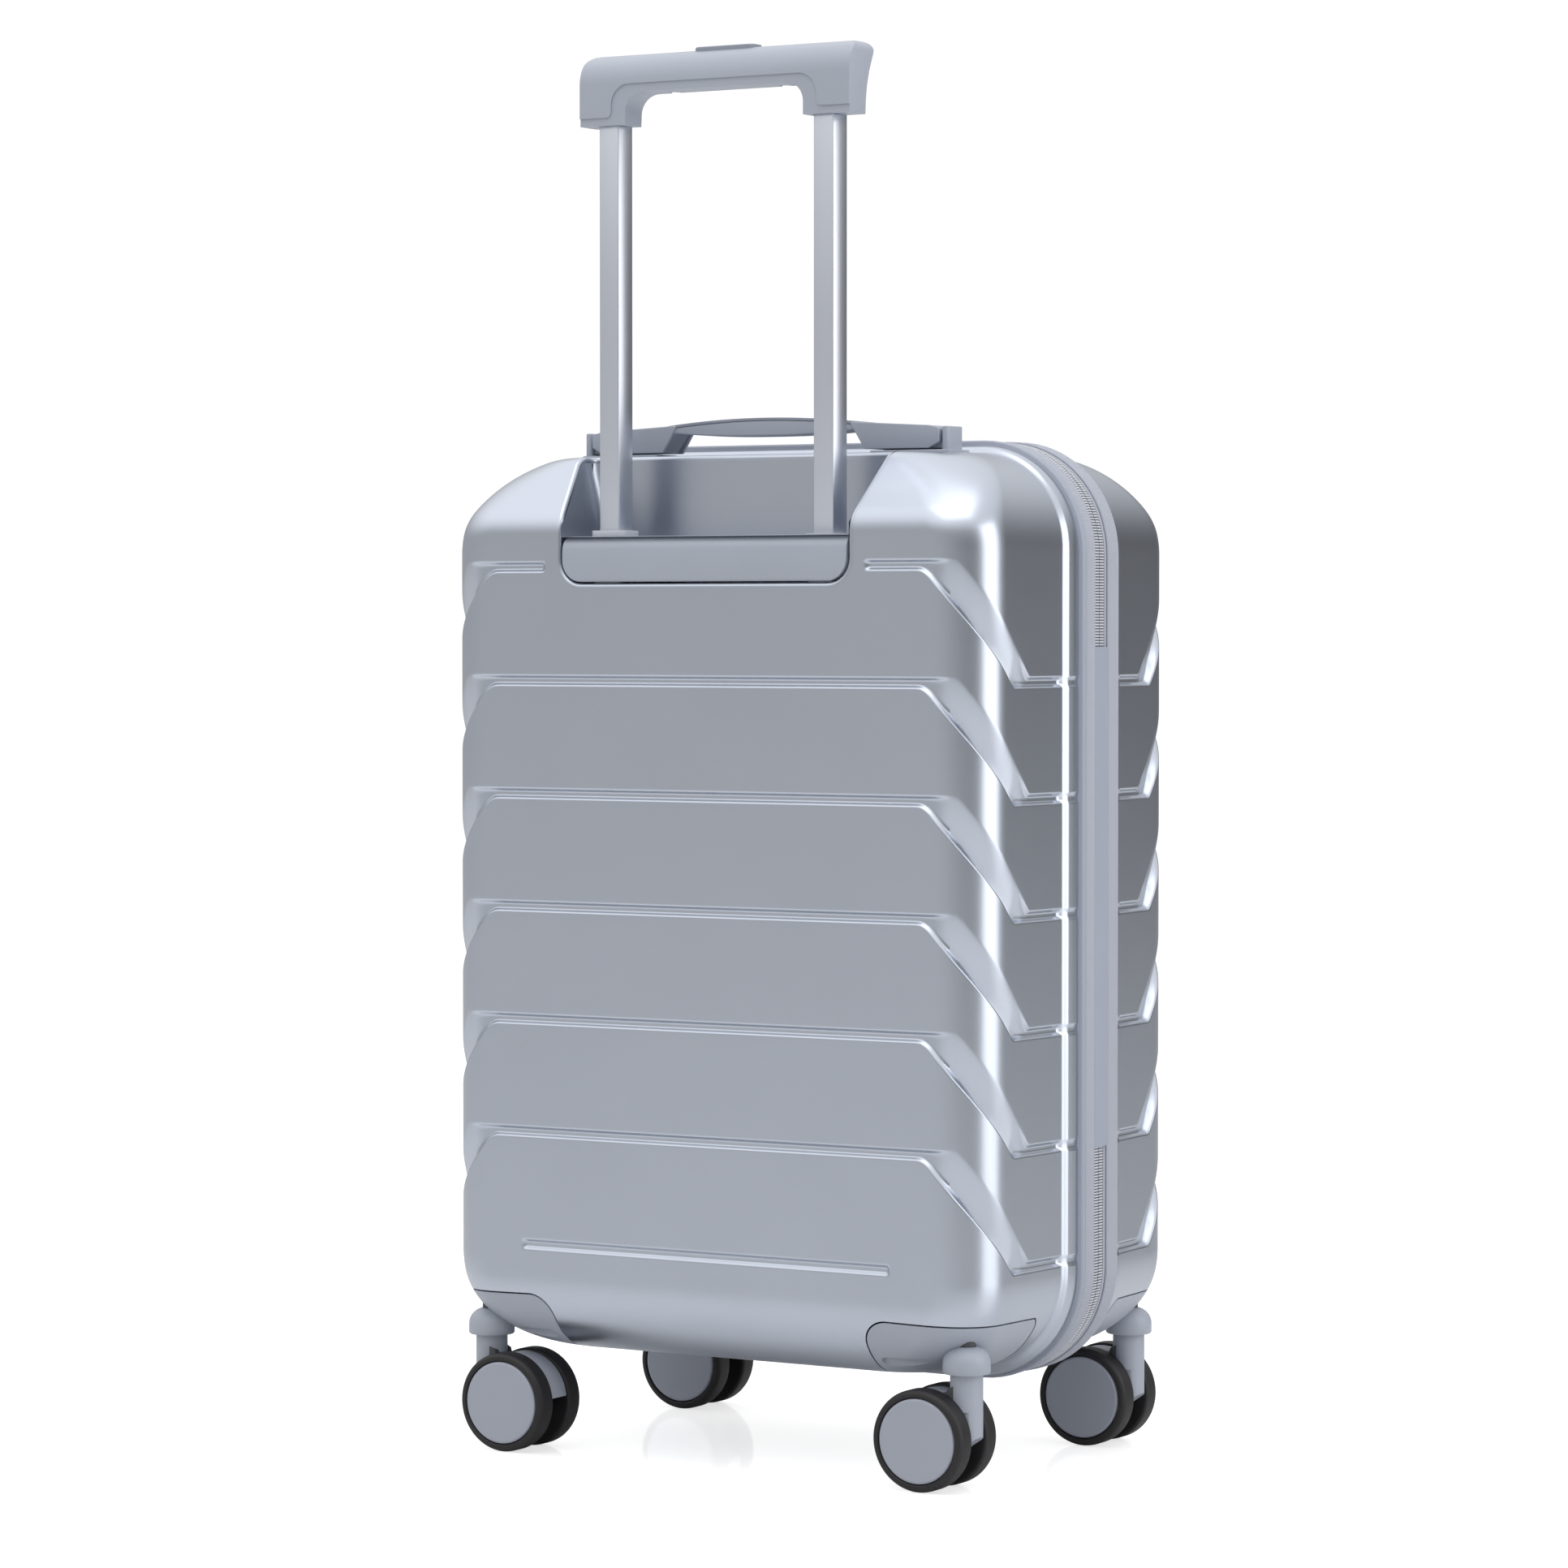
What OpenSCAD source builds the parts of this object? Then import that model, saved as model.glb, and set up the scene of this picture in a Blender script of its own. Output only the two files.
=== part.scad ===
// Cabin-size hard shell suitcase on four twin-wheel casters.
// X is the width (+X is the hinge side), -Y the rear face with the pull handle,
// +Y the front face, Z up. The origin is on the floor, midway between the casters.

/* [Shells] */
// Width over both shells at the opening
shell_w = 339; // [330:1:345]
// Loss of half width from the opening to the rear or front face
draft = 6; // [3:1:8]
// Depth over both shells
case_d = 220; // [216:1:230]
// Height of the underside above the floor
base_z = 55; // [54:0.5:56]
// Height of the top above the floor
top_z = 532; // [528:1:536]
// Corner radius seen from the front
corner_r = 52; // [46:1:56]
// Radius of the upright edges
edge_r = 28; // [24:1:32]
// Radius of the lower front and rear edges
foot_r = 40; // [34:1:42]
// Height of the bevel round the top
bevel_h = 35; // [30:1:38]
// Depth of the bevel round the top
bevel_d = 30; // [26:1:34]
// Wall thickness
wall = 2.5; // [2:0.1:2.8]

/* [Ribs] */
// Height of the top groove above the floor
groove_z = 471; // [468:1:474]
// Spacing of the grooves
groove_pitch = 60; // [56:1:60]
// Depth of the grooves
groove_depth = 1.2; // [0.6:0.1:1.4]
// Width of the grooves
groove_w = 4.4; // [3:0.2:5]

/* [Rim and zip] */
// Width over the rims
rim_w = 348; // [346:1:350]
// Height of the lowest point of the rims
rim_base_z = 46.4; // [45:0.1:48]
// Height of the highest point of the rims
rim_top_z = 539; // [538:0.5:541]
// Corner radius of the rims
rim_r = 60; // [56:1:62]
// Depth position of the parting plane in the zip
zip_y = 3; // [2:0.5:4]

/* [Pull handle] */
// Distance between the tube centres
tube_gap = 131.6; // [130:0.2:133]
// Width of an inner tube
tube_w = 15; // [14:0.5:15]
// Depth of an inner tube
tube_d = 12; // [11:0.5:12]
// Travel of the upper stage, which stands raised
stage_1 = 212; // [180:1:214]
// Width of the grip
grip_w = 165; // [162:1:168]
// Height of the grip's legs and bar together
grip_h = 38; // [36:1:38]

/* [Casters] */
// Distance between the swivel axes across the case
swivel_dx = 293.4; // [290:0.2:296]
// Distance between the swivel axes from rear to front
swivel_dy = 179; // [177:0.5:180]
// Wheel diameter
wheel_d = 52.8; // [50:0.2:53]
// Width of one wheel
wheel_w = 12; // [11:0.5:12.5]
// Distance between the two wheels of a caster
wheel_gap = 15; // [14.5:0.5:16]
// Distance of the axle behind the swivel axis
trail = 18.7; // [18:0.1:20]

/* [Hidden] */
$fn = 48;
arc_n = 7;
eps = 0.01;
far = 60;
half_w = shell_w / 2;
half_d = case_d / 2;
rear_open = -19;
front_open = 25;
draft_slope = draft / (half_d + rear_open);
seat = 4.6;
edge_w = 8.5;
gap = 0.5;
running = 0.15;
case_top = 560;

// Pull handle
tube_y = -91;
tube_wall = 1.05;
stage_step = 1.2;
tube_x = tube_gap / 2;
bezel_w = 174;
bezel_z = 465;
bezel_top = 489;
bezel_r = 12;
pocket_w = 176.8;
pocket_back = -64;
bezel_back = -76.3;
collar_h = 3;
grip_z = bezel_top + collar_h + 1 + stage_1;
outer_foot_z = 104;
middle_foot_z = 214;
inner_foot_z = 436;
split_z = grip_z + 22.5;
grip_bar_z = grip_z + 17;
grip_top = grip_z + grip_h;
grip_rear = tube_y - 8.5;
grip_leg = 28;

// Corner housings of the casters
house_x = 96.5;
house_y = -37;
house_z = 92;
house_r = 14;
boss_z = 60.5;
boss_r = 12.35;
boss_top = 100;
screw_r = 1.45;
pin_r = 5;
axle_r = 2.5;
hub_r = 22;
axle_z = wheel_d / 2;

// Rim and zip rings, as insets from the rims' outline
rim_in = 6;
tape_in = 2;
coil_in = 1;
coil_half = 6.3;
tape_start = rear_open + 5;
hinge_low = 170;
hinge_high = 431;
hinge_t = 1.3;
slider_z = 300;

// Carry handle
carry_y = -39;
carry_d = 22;
carry_end = 113.5;
carry_block = 104;
carry_in = 60;
carry_lift = 5.5;

CASTERS = [["rear_left", -1, -1], ["rear_right", 1, -1], ["front_left", -1, 1], ["front_right", 1, 1]];

// --- outlines --------------------------------------------------------------

function unit(v) = v / norm(v);
function turn(a) = a > 180 ? a - 360 : a < -180 ? a + 360 : a;
function wrap(pts, i) = pts[(i + len(pts)) % len(pts)];

// Arc that rounds the corner q between its neighbours p and s
function corner(p, q, s, r) =
    r <= 0 ? [q] :
    let (u = unit(p - q), v = unit(s - q), half = acos(u * v) / 2)
    let (c = q + unit(u + v) * r / sin(half), a = q + u * r / tan(half), b = q + v * r / tan(half))
    let (start = atan2(a.y - c.y, a.x - c.x), sweep = turn(atan2(b.y - c.y, b.x - c.x) - start))
    [for (i = [0:arc_n]) c + r * [cos(start + sweep * i / arc_n), sin(start + sweep * i / arc_n)]];

function rounded(pts, radii) =
    [for (i = [0:len(pts) - 1]) each corner(wrap(pts, i - 1), pts[i], wrap(pts, i + 1), radii[i])];

// Convex polygon with every edge moved inwards by t
function inset(pts, t) =
    [for (i = [0:len(pts) - 1])
        let (u = unit(wrap(pts, i - 1) - pts[i]), v = unit(wrap(pts, i + 1) - pts[i]))
        pts[i] + unit(u + v) * t / sin(acos(u * v) / 2)];

function shrink(radii, t) = [for (r = radii) max(r - t, 0)];
function box_pts(x0, y0, x1, y1) = [[x0, y0], [x1, y0], [x1, y1], [x0, y1]];
function rim_pts(t) =
    rounded(inset(box_pts(-rim_w / 2, rim_base_z, rim_w / 2, rim_top_z), t), shrink([for (i = [0:3]) rim_r], t));
function half_at(y) = half_w + draft_slope * (y - rear_open);

// --- placing ---------------------------------------------------------------

// Outline in X and Z, extruded along Y from y0 to y1
module along_y(y0, y1) translate([0, y1, 0]) rotate([90, 0, 0]) linear_extrude(y1 - y0) children();

// Outline in Y and Z, extruded along X from x0 to x1
module along_x(x0, x1) translate([x0, 0, 0]) rotate([90, 0, 90]) linear_extrude(x1 - x0) children();

// Outline in X and Y, extruded up from z0 to z1
module along_z(z0, z1) translate([0, 0, z0]) linear_extrude(z1 - z0) children();

module bar(lo, hi) translate(lo) cube(hi - lo);
module both_x() for (side = [0, 1]) mirror([side, 0, 0]) children();
module at_tubes() for (side = [-1, 1]) translate([side * tube_x, tube_y, 0]) children();

// Upright box with rounded corners round the local Z axis
module post(w, d, r, z0, z1)
    along_z(z0, z1) polygon(rounded(box_pts(-w / 2, -d / 2, w / 2, d / 2), [for (i = [0:3]) r]));

module swivel(c) translate([c[1] * swivel_dx / 2, c[2] * swivel_dy / 2, 0]) mirror([c[1] < 0 ? 1 : 0, 0, 0]) children();

// --- shells ----------------------------------------------------------------

front_box = box_pts(-half_w - 1, base_z, half_w + 1, top_z);
front_radii = [for (i = [0:3]) corner_r];
plan_box = [[-half_at(far), far], [-half_at(-half_d), -half_d], [half_at(-half_d), -half_d], [half_at(far), far]];
plan_radii = [0, edge_r, edge_r, 0];
side_box = [[far, base_z], [-half_d, base_z], [-half_d, top_z - bevel_h], [bevel_d - half_d, top_z], [far, top_z]];
side_radii = [0, foot_r, 8, 10, 0];

// Rear half of the case as one block, every face moved inwards by t
module block(t, open) intersection() {
    along_y(-half_d - 1, open) polygon(rounded(inset(front_box, t), shrink(front_radii, t)));
    along_z(0, case_top) polygon(rounded(inset(plan_box, t), shrink(plan_radii, t)));
    along_x(-rim_w, rim_w) polygon(rounded(inset(side_box, t), shrink(side_radii, t)));
}

// Space of the caster housings in both lower corners, grown by g
module corners(g) both_x() intersection() {
    along_y(-half_d - far, far)
        polygon(rounded(box_pts(house_x - g, 0, rim_w, house_z + g), [0, 0, 0, house_r + g]));
    along_x(0, rim_w)
        polygon(rounded(box_pts(-half_d - far, 0, house_y + g, house_z + g), [0, 0, house_r + g, 0]));
}

// Hollow of a shell, with the seats of the housings left standing
module hollow(open) {
    difference() {
        block(wall, open);
        corners(seat + wall - gap);
    }
    block(seat + wall, open);
}

module towers(r, z1) for (side = [-1, 1])
    translate([side * swivel_dx / 2, -swivel_dy / 2, boss_z - 10]) cylinder(r = r, h = z1 - boss_z + 10);

// Level grooves of the rear face and the sides; the top one stops short of the bezel
module grooves() {
    face_end = half_w - corner_r + 10;
    face_floor = groove_depth - half_d;
    both_x() bar([99, -half_d - 1, groove_z], [face_end, face_floor, groove_z + groove_w]);
    for (k = [1:6]) let (z = groove_z - k * groove_pitch, reach = k == 6 ? 112 : face_end) {
        bar([-reach, -half_d - 1, z], [reach, face_floor, z + groove_w]);
        both_x() bar([half_at(-half_d) + 1.5 - groove_depth, -78, z], [half_w + 2, -40, z + groove_w]);
    }
}

// One ribbed half shell with its turned-out edge, open at Y = open
module half_shell(open) difference() {
    union() {
        block(0, open);
        difference() {
            along_y(open - edge_w, open) polygon(rim_pts(2.5));
            block(1, open + 1);
        }
    }
    hollow(open + 1);
    grooves();
    difference() {
        corners(gap);
        block(seat, open);
    }
    towers(boss_r + gap, boss_top + 10);
    screw_places() cylinder(r = screw_r, h = 12);
}

module pocket(g) {
    bar([-pocket_w / 2 - g, -half_d - far, bezel_top - eps], [pocket_w / 2 + g, pocket_back + g, case_top]);
    bar([-bezel_w / 2 - gap - g, -half_d - far, bezel_z - gap - g], [bezel_w / 2 + gap + g, bezel_back + g, bezel_top]);
}

foot_screw_x = 30;
foot_z0 = 98;
foot_z1 = 118;
foot_back = -99.8;
foot_front = -80;

module rear_shell() color("silver") {
    difference() {
        union() {
            half_shell(rear_open);
            intersection() {
                block(0, rear_open);
                pocket(wall);
            }
        }
        pocket(0);
        at_tubes() post(19.8, 16.8, 3.5, bezel_z - 10, bezel_z);
    }
    both_x() translate([foot_screw_x, foot_back, (foot_z0 + foot_z1) / 2]) rotate([90, 0, 0]) difference() {
        cylinder(r = 4.5, h = half_d - wall + foot_back + 0.5);
        translate([0, 0, -1]) cylinder(r = 1.7, h = 7);
    }
}

module front_shell() color("silver") mirror([0, 1, 0]) half_shell(-front_open);

// --- rims, zip and hinge ----------------------------------------------------

module ring(y0, y1, outer, inner) along_y(y0, y1) difference() {
    polygon(rim_pts(outer));
    polygon(rim_pts(inner));
}

module rear_rim() color("lightsteelblue") {
    ring(rear_open, tape_start, 0, rim_in);
    ring(tape_start - eps, zip_y - 0.5, tape_in, rim_in);
}

module rear_zip_tape() color("lightgray") {
    ring(tape_start, zip_y - coil_half, 0.4, tape_in);
    ring(zip_y - coil_half - eps, zip_y - running, coil_in, tape_in);
}

module front_rim() color("lightsteelblue") ring(zip_y + 0.5, front_open, tape_in, rim_in);

module front_zip_tape() color("lightgray") {
    ring(zip_y + running, zip_y + coil_half + eps, coil_in, tape_in);
    ring(zip_y + coil_half, front_open, 0, tape_in);
}

hinge_x = rim_w / 2 - coil_in;

module hinge_leaf_rear() color("slategray")
    bar([hinge_x, zip_y - coil_half, hinge_low], [hinge_x + hinge_t, zip_y - running, hinge_high]);

module hinge_leaf_front() color("slategray")
    bar([hinge_x, zip_y + running, hinge_low], [hinge_x + hinge_t, zip_y + coil_half, hinge_high]);

// Slider with its two cheeks for the pull; the pull hangs from the bar between them
slider_x = -rim_w / 2 + coil_in - 0.3;
slider_l = 16;
bar_x = slider_x - 3.4;
bar_low = slider_z + 3;
bar_high = slider_z + 2 * slider_l - 2.5;
pull_l = 23;
lock_hole_r = 2;

module slider(z0, bar_z) {
    bar([slider_x - 2, zip_y - 5, z0], [slider_x, zip_y + 5, z0 + slider_l]);
    for (y = [zip_y - 4.2, zip_y + 3.0])
        bar([slider_x - 4.6, y, bar_z - 2.4], [slider_x - 1.9, y + 1.2, bar_z + 2.4]);
    translate([bar_x, zip_y - 3.1, bar_z]) rotate([-90, 0, 0]) cylinder(r = 0.7, h = 6.2);
}

module pull(bar_z) translate([bar_x, zip_y, bar_z]) difference() {
    union() {
        bar([-0.75, -2.8, -pull_l + 2], [0.75, 2.8, 0]);
        bar([-0.75, -4, -pull_l], [0.75, 4, -7]);
        translate([0, -2.8, 0]) rotate([-90, 0, 0]) cylinder(r = 1.35, h = 5.6);
    }
    translate([0, -4, 0]) rotate([-90, 0, 0]) cylinder(r = 0.75, h = 8);
    translate([-2, 0, 4.5 - pull_l]) rotate([0, 90, 0]) cylinder(r = lock_hole_r, h = 4);
}

module slider_upper() color("dimgray") slider(slider_z + slider_l + 0.5, bar_high);
module slider_lower() color("dimgray") slider(slider_z, bar_low);
module pull_upper() color("gray") pull(bar_high);
module pull_lower() color("gray") pull(bar_low);

// --- linings ----------------------------------------------------------------

lining_gap = 0.8;
lining_back = -77;

// Inside of the lining when t is its thickness, or its outside when t is 0
module lining_form(t, open, back) difference() {
    intersection() {
        block(wall + lining_gap + t, open);
        bar([-rim_w, back + t, 0], [rim_w, far, case_top]);
    }
    corners(10 + t);
}

module rear_lining() color("dimgray") difference() {
    lining_form(0, rear_open - 0.5, lining_back);
    difference() {
        lining_form(1, rear_open + 1, lining_back);
        bar([-94, -half_d, 459], [94, -59.5, case_top]);
    }
    bar([-93, -half_d, 460], [93, -60.5, case_top]);
}

module front_lining() color("dimgray") mirror([0, 1, 0]) difference() {
    lining_form(0, -front_open - 0.5, -half_d);
    lining_form(1, -front_open + 1, -half_d);
}

module strap(a) translate([0, 0, 280]) rotate([0, a, 0])
    bar([-205, lining_back + 1, -12], [205, lining_back + 2.4, 12]);

module packing_straps() color("black") {
    intersection() {
        union() {
            strap(49);
            strap(-49);
        }
        bar([-150, lining_back, 130], [150, 0, 440]);
    }
    bar([-24, lining_back + 1, 262], [24, lining_back + 6, 298]);
}

lid_back = half_d - wall - lining_gap - 1;

module lid_pocket() color("black") {
    bar([-135, lid_back - 1.2, 130], [135, lid_back, 400]);
    bar([-135, lid_back - 2.6, 400], [135, lid_back, 412]);
}

// --- pull handle ------------------------------------------------------------

// One tube section: s is the stage, counted outwards from the inner tube
module tube(s, z0, z1) difference() {
    post(tube_w + 2 * s * stage_step, tube_d + 2 * s * stage_step, 3 + s * 0.2, z0, z1);
    post(tube_w + 2 * s * stage_step - 2 * tube_wall, tube_d + 2 * s * stage_step - 2 * tube_wall,
        2 + s * 0.2, z0 - 1, z1 + 1);
}

module outer_tubes() color("silver") at_tubes() tube(2, outer_foot_z, bezel_z);
module middle_tubes() color("silver") at_tubes() tube(1, middle_foot_z, bezel_top + 0.3);
module inner_tubes() color("silver") at_tubes() tube(0, inner_foot_z, grip_z + 10);

module middle_collars() color("gainsboro") at_tubes() difference() {
    post(21, 18, 4, bezel_top + 0.3, bezel_top + 0.3 + collar_h);
    post(tube_w + 2 * running, tube_d + 2 * running, 3.1, bezel_top - 1, bezel_top + 6);
}

module tube_plugs() color("dimgray") at_tubes() difference() {
    post(tube_w - 2 * tube_wall, tube_d - 2 * tube_wall, 2, inner_foot_z, inner_foot_z + 18);
    translate([0, 0, inner_foot_z + 9]) rotate([90, 0, 0]) cylinder(r = 2.4, h = 20, center = true);
}

module pull_bezel() color("gray") difference() {
    along_y(-half_d, bezel_back) polygon(rounded(
        box_pts(-bezel_w / 2, bezel_z, bezel_w / 2, bezel_top), [bezel_r, bezel_r, 3, 3]));
    at_tubes() post(tube_w + 2 * stage_step + 2 * running, tube_d + 2 * stage_step + 2 * running, 3.3,
        bezel_z - 1, bezel_top + 1);
}

module tube_foot() color("dimgray") difference() {
    bar([-tube_x - 14, foot_back, foot_z0], [tube_x + 14, foot_front, foot_z1]);
    at_tubes() post(tube_w + 4 * stage_step, tube_d + 4 * stage_step, 3.4, outer_foot_z, foot_z1 + 1);
    both_x() translate([foot_screw_x, foot_back - 1, (foot_z0 + foot_z1) / 2]) rotate([-90, 0, 0])
        cylinder(r = 2.2, h = 30);
}

// U-shaped outline of the grip, seen from the rear
grip_outline = concat(
    rounded([[-grip_w / 2, grip_z], [-grip_w / 2, grip_top], [grip_w / 2, grip_top], [grip_w / 2, grip_z]],
        [0, 13, 13, 0]),
    rounded([[grip_w / 2 - grip_leg, grip_z], [grip_w / 2 - grip_leg, grip_bar_z],
        [-grip_w / 2 + grip_leg, grip_bar_z], [-grip_w / 2 + grip_leg, grip_z]], [0, 9, 9, 0]));

module grip_body() intersection() {
    along_y(grip_rear, grip_rear + 30) polygon(grip_outline);
    along_x(-grip_w, grip_w) polygon([[grip_rear, grip_z], [grip_rear + 17, grip_z],
        [grip_rear + 28, grip_top], [grip_rear, grip_top]]);
}

button_w = 37;
button_d = 12;
channel_z0 = split_z - 4;
channel_z1 = split_z + 6;

// Channel of the release bar and the holes of its two rods
module release_space() {
    bar([-tube_x - 4, tube_y - 4, channel_z0], [tube_x + 4, tube_y + 4, channel_z1]);
    at_tubes() cylinder(r = 2.8, h = channel_z0 + 1);
    translate([0, tube_y, 0]) post(button_w + 0.6, button_d + 0.6, 4, channel_z1 - 5.5, grip_top + 1);
}

grip_screw_y = tube_y + 9;
module grip_screw_holes(r, head_r) both_x() translate([34, grip_screw_y, 0]) {
    cylinder(r = r, h = split_z + 8);
    cylinder(r = head_r, h = grip_bar_z + 2.6);
}

module grip_lower() color("gray") difference() {
    intersection() {
        grip_body();
        bar([-grip_w, -half_d - far, 0], [grip_w, far, split_z]);
    }
    release_space();
    at_tubes() post(tube_w, tube_d, 3, 0, grip_z + 10);
    grip_screw_holes(1.5, 3.2);
}

module grip_upper() color("gray") difference() {
    intersection() {
        grip_body();
        bar([-grip_w, -half_d - far, split_z], [grip_w, far, grip_top + 1]);
    }
    release_space();
    grip_screw_holes(1.5, 1.5);
}

module grip_screws() color("dimgray") both_x() translate([34, grip_screw_y, 0]) {
    translate([0, 0, grip_bar_z + 0.6]) cylinder(r = 2.8, h = 2);
    translate([0, 0, grip_bar_z + 2.5]) cylinder(r = 1.5, h = 10);
}

// Push button, its cross bar and the two rods that run down inside the tubes
module release_button() color("darkgray") {
    translate([0, tube_y, 0]) post(button_w, button_d, 3.7, channel_z1 - 2, grip_top + 2);
    bar([-tube_x - 3.5, tube_y - 3.5, channel_z1 - 5], [tube_x + 3.5, tube_y + 3.5, channel_z1 - 0.3]);
    at_tubes() translate([0, 0, inner_foot_z + 24]) cylinder(r = 2, h = channel_z1 - 4 - inner_foot_z - 24);
}

// --- carry handle -----------------------------------------------------------

module carry_bases() color("gray") both_x() difference() {
    union() {
        bar([66, carry_y - carry_d / 2, top_z - 1], [carry_end - 6, carry_y + carry_d / 2, top_z + 1.5]);
        translate([(carry_block + 0.6 + carry_end) / 2, carry_y, 0])
            post(carry_end - carry_block - 0.6, carry_d, 4, top_z - 1, top_z + 13.5);
    }
    bar([60, carry_y - 7, top_z + 1.5], [carry_end - 3, carry_y + 7, top_z + 11.5]);
    block(0, rear_open);
}

// Lens-shaped arch between two end blocks
grip_arch = concat(
    [for (i = [-6:6]) let (x = i * carry_in / 6) [x, top_z + 20 - 6.5 * pow(x / carry_in, 2)]],
    [for (i = [6:-1:-6]) let (x = i * carry_in / 6) [x, top_z + 10.4 - 1.2 * pow(x / carry_in, 2)]]);

module carry_grip() color("lightslategray") {
    along_y(carry_y - 10, carry_y + 10) polygon(grip_arch);
    both_x() {
        along_y(carry_y - carry_d / 2, carry_y + carry_d / 2) polygon([[carry_in - 5, top_z + 9],
            [carry_in + 3, top_z + 2.3], [98, top_z + 2.3], [carry_block, top_z + 6],
            [carry_block, top_z + 12.6], [carry_in - 3, top_z + 13.8]]);
        bar([98 - eps, carry_y - 6.5, top_z + 2.3], [carry_end - 4, carry_y + 6.5, top_z + 5.6]);
    }
}

// --- casters ----------------------------------------------------------------

// Middle of the second facet of the curved lower edge
foot_turn = 1.5 * 90 / arc_n;

module screw_places() {
    both_x() translate([118, foot_r - half_d, base_z + foot_r]) rotate([foot_turn - 90, 0, 0])
        translate([0, 0, 2 - foot_r]) children();
    both_x() translate([110, -56, base_z + 2]) children();
}

module housing_screws() color("dimgray") screw_places() {
    cylinder(r = screw_r, h = seat + wall);
    translate([0, 0, seat + wall - 1.75]) cylinder(r = 3, h = 2.4);
}

module case_screws() {
    housing_screws();
    color("dimgray") both_x() translate([foot_screw_x, foot_front, (foot_z0 + foot_z1) / 2]) rotate([90, 0, 0]) {
        translate([0, 0, -2.4]) cylinder(r = 4, h = 2.4);
        translate([0, 0, -0.1]) cylinder(r = 1.7, h = foot_front - foot_back + 4);
    }
}

module lid_screws() mirror([0, 1, 0]) housing_screws();

// Moulded corner: a skin flush with the shell, and the tower that holds the swivel pin
module rear_housing(side) color("gray") intersection() {
    difference() {
        union() {
            intersection() {
                difference() {
                    block(0, rear_open);
                    block(seat - 0.1, rear_open);
                }
                corners(0);
            }
            difference() {
                towers(boss_r, boss_top);
                bar([-rim_w, -half_d, 0], [rim_w, 0, boss_z]);
            }
        }
        towers(pin_r + 0.05, boss_top - 3);
        towers(boss_r, boss_z);
        screw_places() cylinder(r = screw_r, h = 12);
    }
    if (side > 0)
        bar([0, -half_d - far, 0], [rim_w, 0, case_top]);
    else
        bar([-rim_w, -half_d - far, 0], [0, 0, case_top]);
}

module housing(c) mirror([0, c[2] > 0 ? 1 : 0, 0]) rear_housing(c[1]);

fork_top = boss_z - 0.3;
fork_half = wheel_gap / 2 - 0.4;
stem_r = 8.5;
guard_r = wheel_d / 2 - 1;

// Swivel pin, stem, web and mudguard in one moulding; the axle trails towards -X
module fork(c) color("gray") swivel(c) difference() {
    union() {
        cylinder(r = stem_r, h = fork_top);
        translate([0, 0, fork_top - 1]) cylinder(r = pin_r, h = boss_top - 4.5 - fork_top);
        along_y(-fork_half, fork_half) polygon([[0, 18], [-trail, 18], [-trail, 36], [-6, 50], [4, 50]]);
        translate([-trail, 0, axle_z]) rotate([90, 0, 0]) cylinder(r = 9, h = 2 * fork_half, center = true);
        intersection() {
            translate([-trail, 0, axle_z]) rotate([90, 0, 0]) difference() {
                cylinder(r = guard_r, h = 2 * fork_half, center = true);
                cylinder(r = guard_r - 2.4, h = 2 * fork_half + 1, center = true);
            }
            bar([-trail - 30, -20, axle_z + 3], [4, 20, 60]);
        }
    }
    for (side = [-1, 1])
        bar([-40, side > 0 ? fork_half : -20, 0], [20, side > 0 ? 20 : -fork_half, wheel_d + 1]);
    along_y(-20, 20) polygon([[-4, -1], [-4, 19.5], [stem_r + 1, 29], [20, 29], [20, -1]]);
    bar([-stem_r - 1, -20, -1], [20, 20, 14]);
    translate([-trail, 0, axle_z]) rotate([90, 0, 0]) cylinder(r = axle_r, h = 40, center = true);
}

module at_axle(c) swivel(c) translate([-trail, 0, axle_z]) rotate([90, 0, 0]) children();

module axle(c) color("dimgray") at_axle(c) cylinder(r = axle_r, h = wheel_gap + 2 * wheel_w - 6, center = true);

// Wheel a is on the -Y side, wheel b on the +Y side; both are turned about the axle
module wheel_side(side) mirror([0, 0, side == "a" ? 0 : 1]) translate([0, 0, wheel_gap / 2]) children();

module tyre(c, side) color("black") at_axle(c) wheel_side(side) rotate_extrude()
    polygon(rounded(box_pts(hub_r, 0, wheel_d / 2, wheel_w - 0.4), [0, 2.5, 2.5, 0]));

module hub(c, side) color("gray") at_axle(c) wheel_side(side) difference() {
    rotate_extrude() polygon([[0, 0], [hub_r, 0], [hub_r, wheel_w - 1], [hub_r - 1.5, wheel_w], [0, wheel_w]]);
    translate([0, 0, -1]) cylinder(r = axle_r + 0.05, h = wheel_w - 1.5);
}

// --- what is drawn ----------------------------------------------------------

rear_shell();
rear_rim();
rear_zip_tape();
hinge_leaf_rear();
rear_lining();
packing_straps();
pull_bezel();
outer_tubes();
tube_foot();
case_screws();
carry_bases();
front_shell();
front_rim();
front_zip_tape();
hinge_leaf_front();
front_lining();
lid_pocket();
lid_screws();
middle_tubes();
middle_collars();
inner_tubes();
tube_plugs();
grip_lower();
grip_upper();
grip_screws();
release_button();
carry_grip();
slider_upper();
slider_lower();
pull_upper();
pull_lower();
for (c = CASTERS) {
    housing(c);
    fork(c);
    axle(c);
    for (side = ["a", "b"]) {
        tyre(c, side);
        hub(c, side);
    }
}
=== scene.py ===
"""Looks of a cabin-size hard shell suitcase on four twin-wheel casters, built round its CAD frame."""

import math

import bmesh
import bpy
import numpy as np
from mathutils import Matrix, Vector


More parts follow.
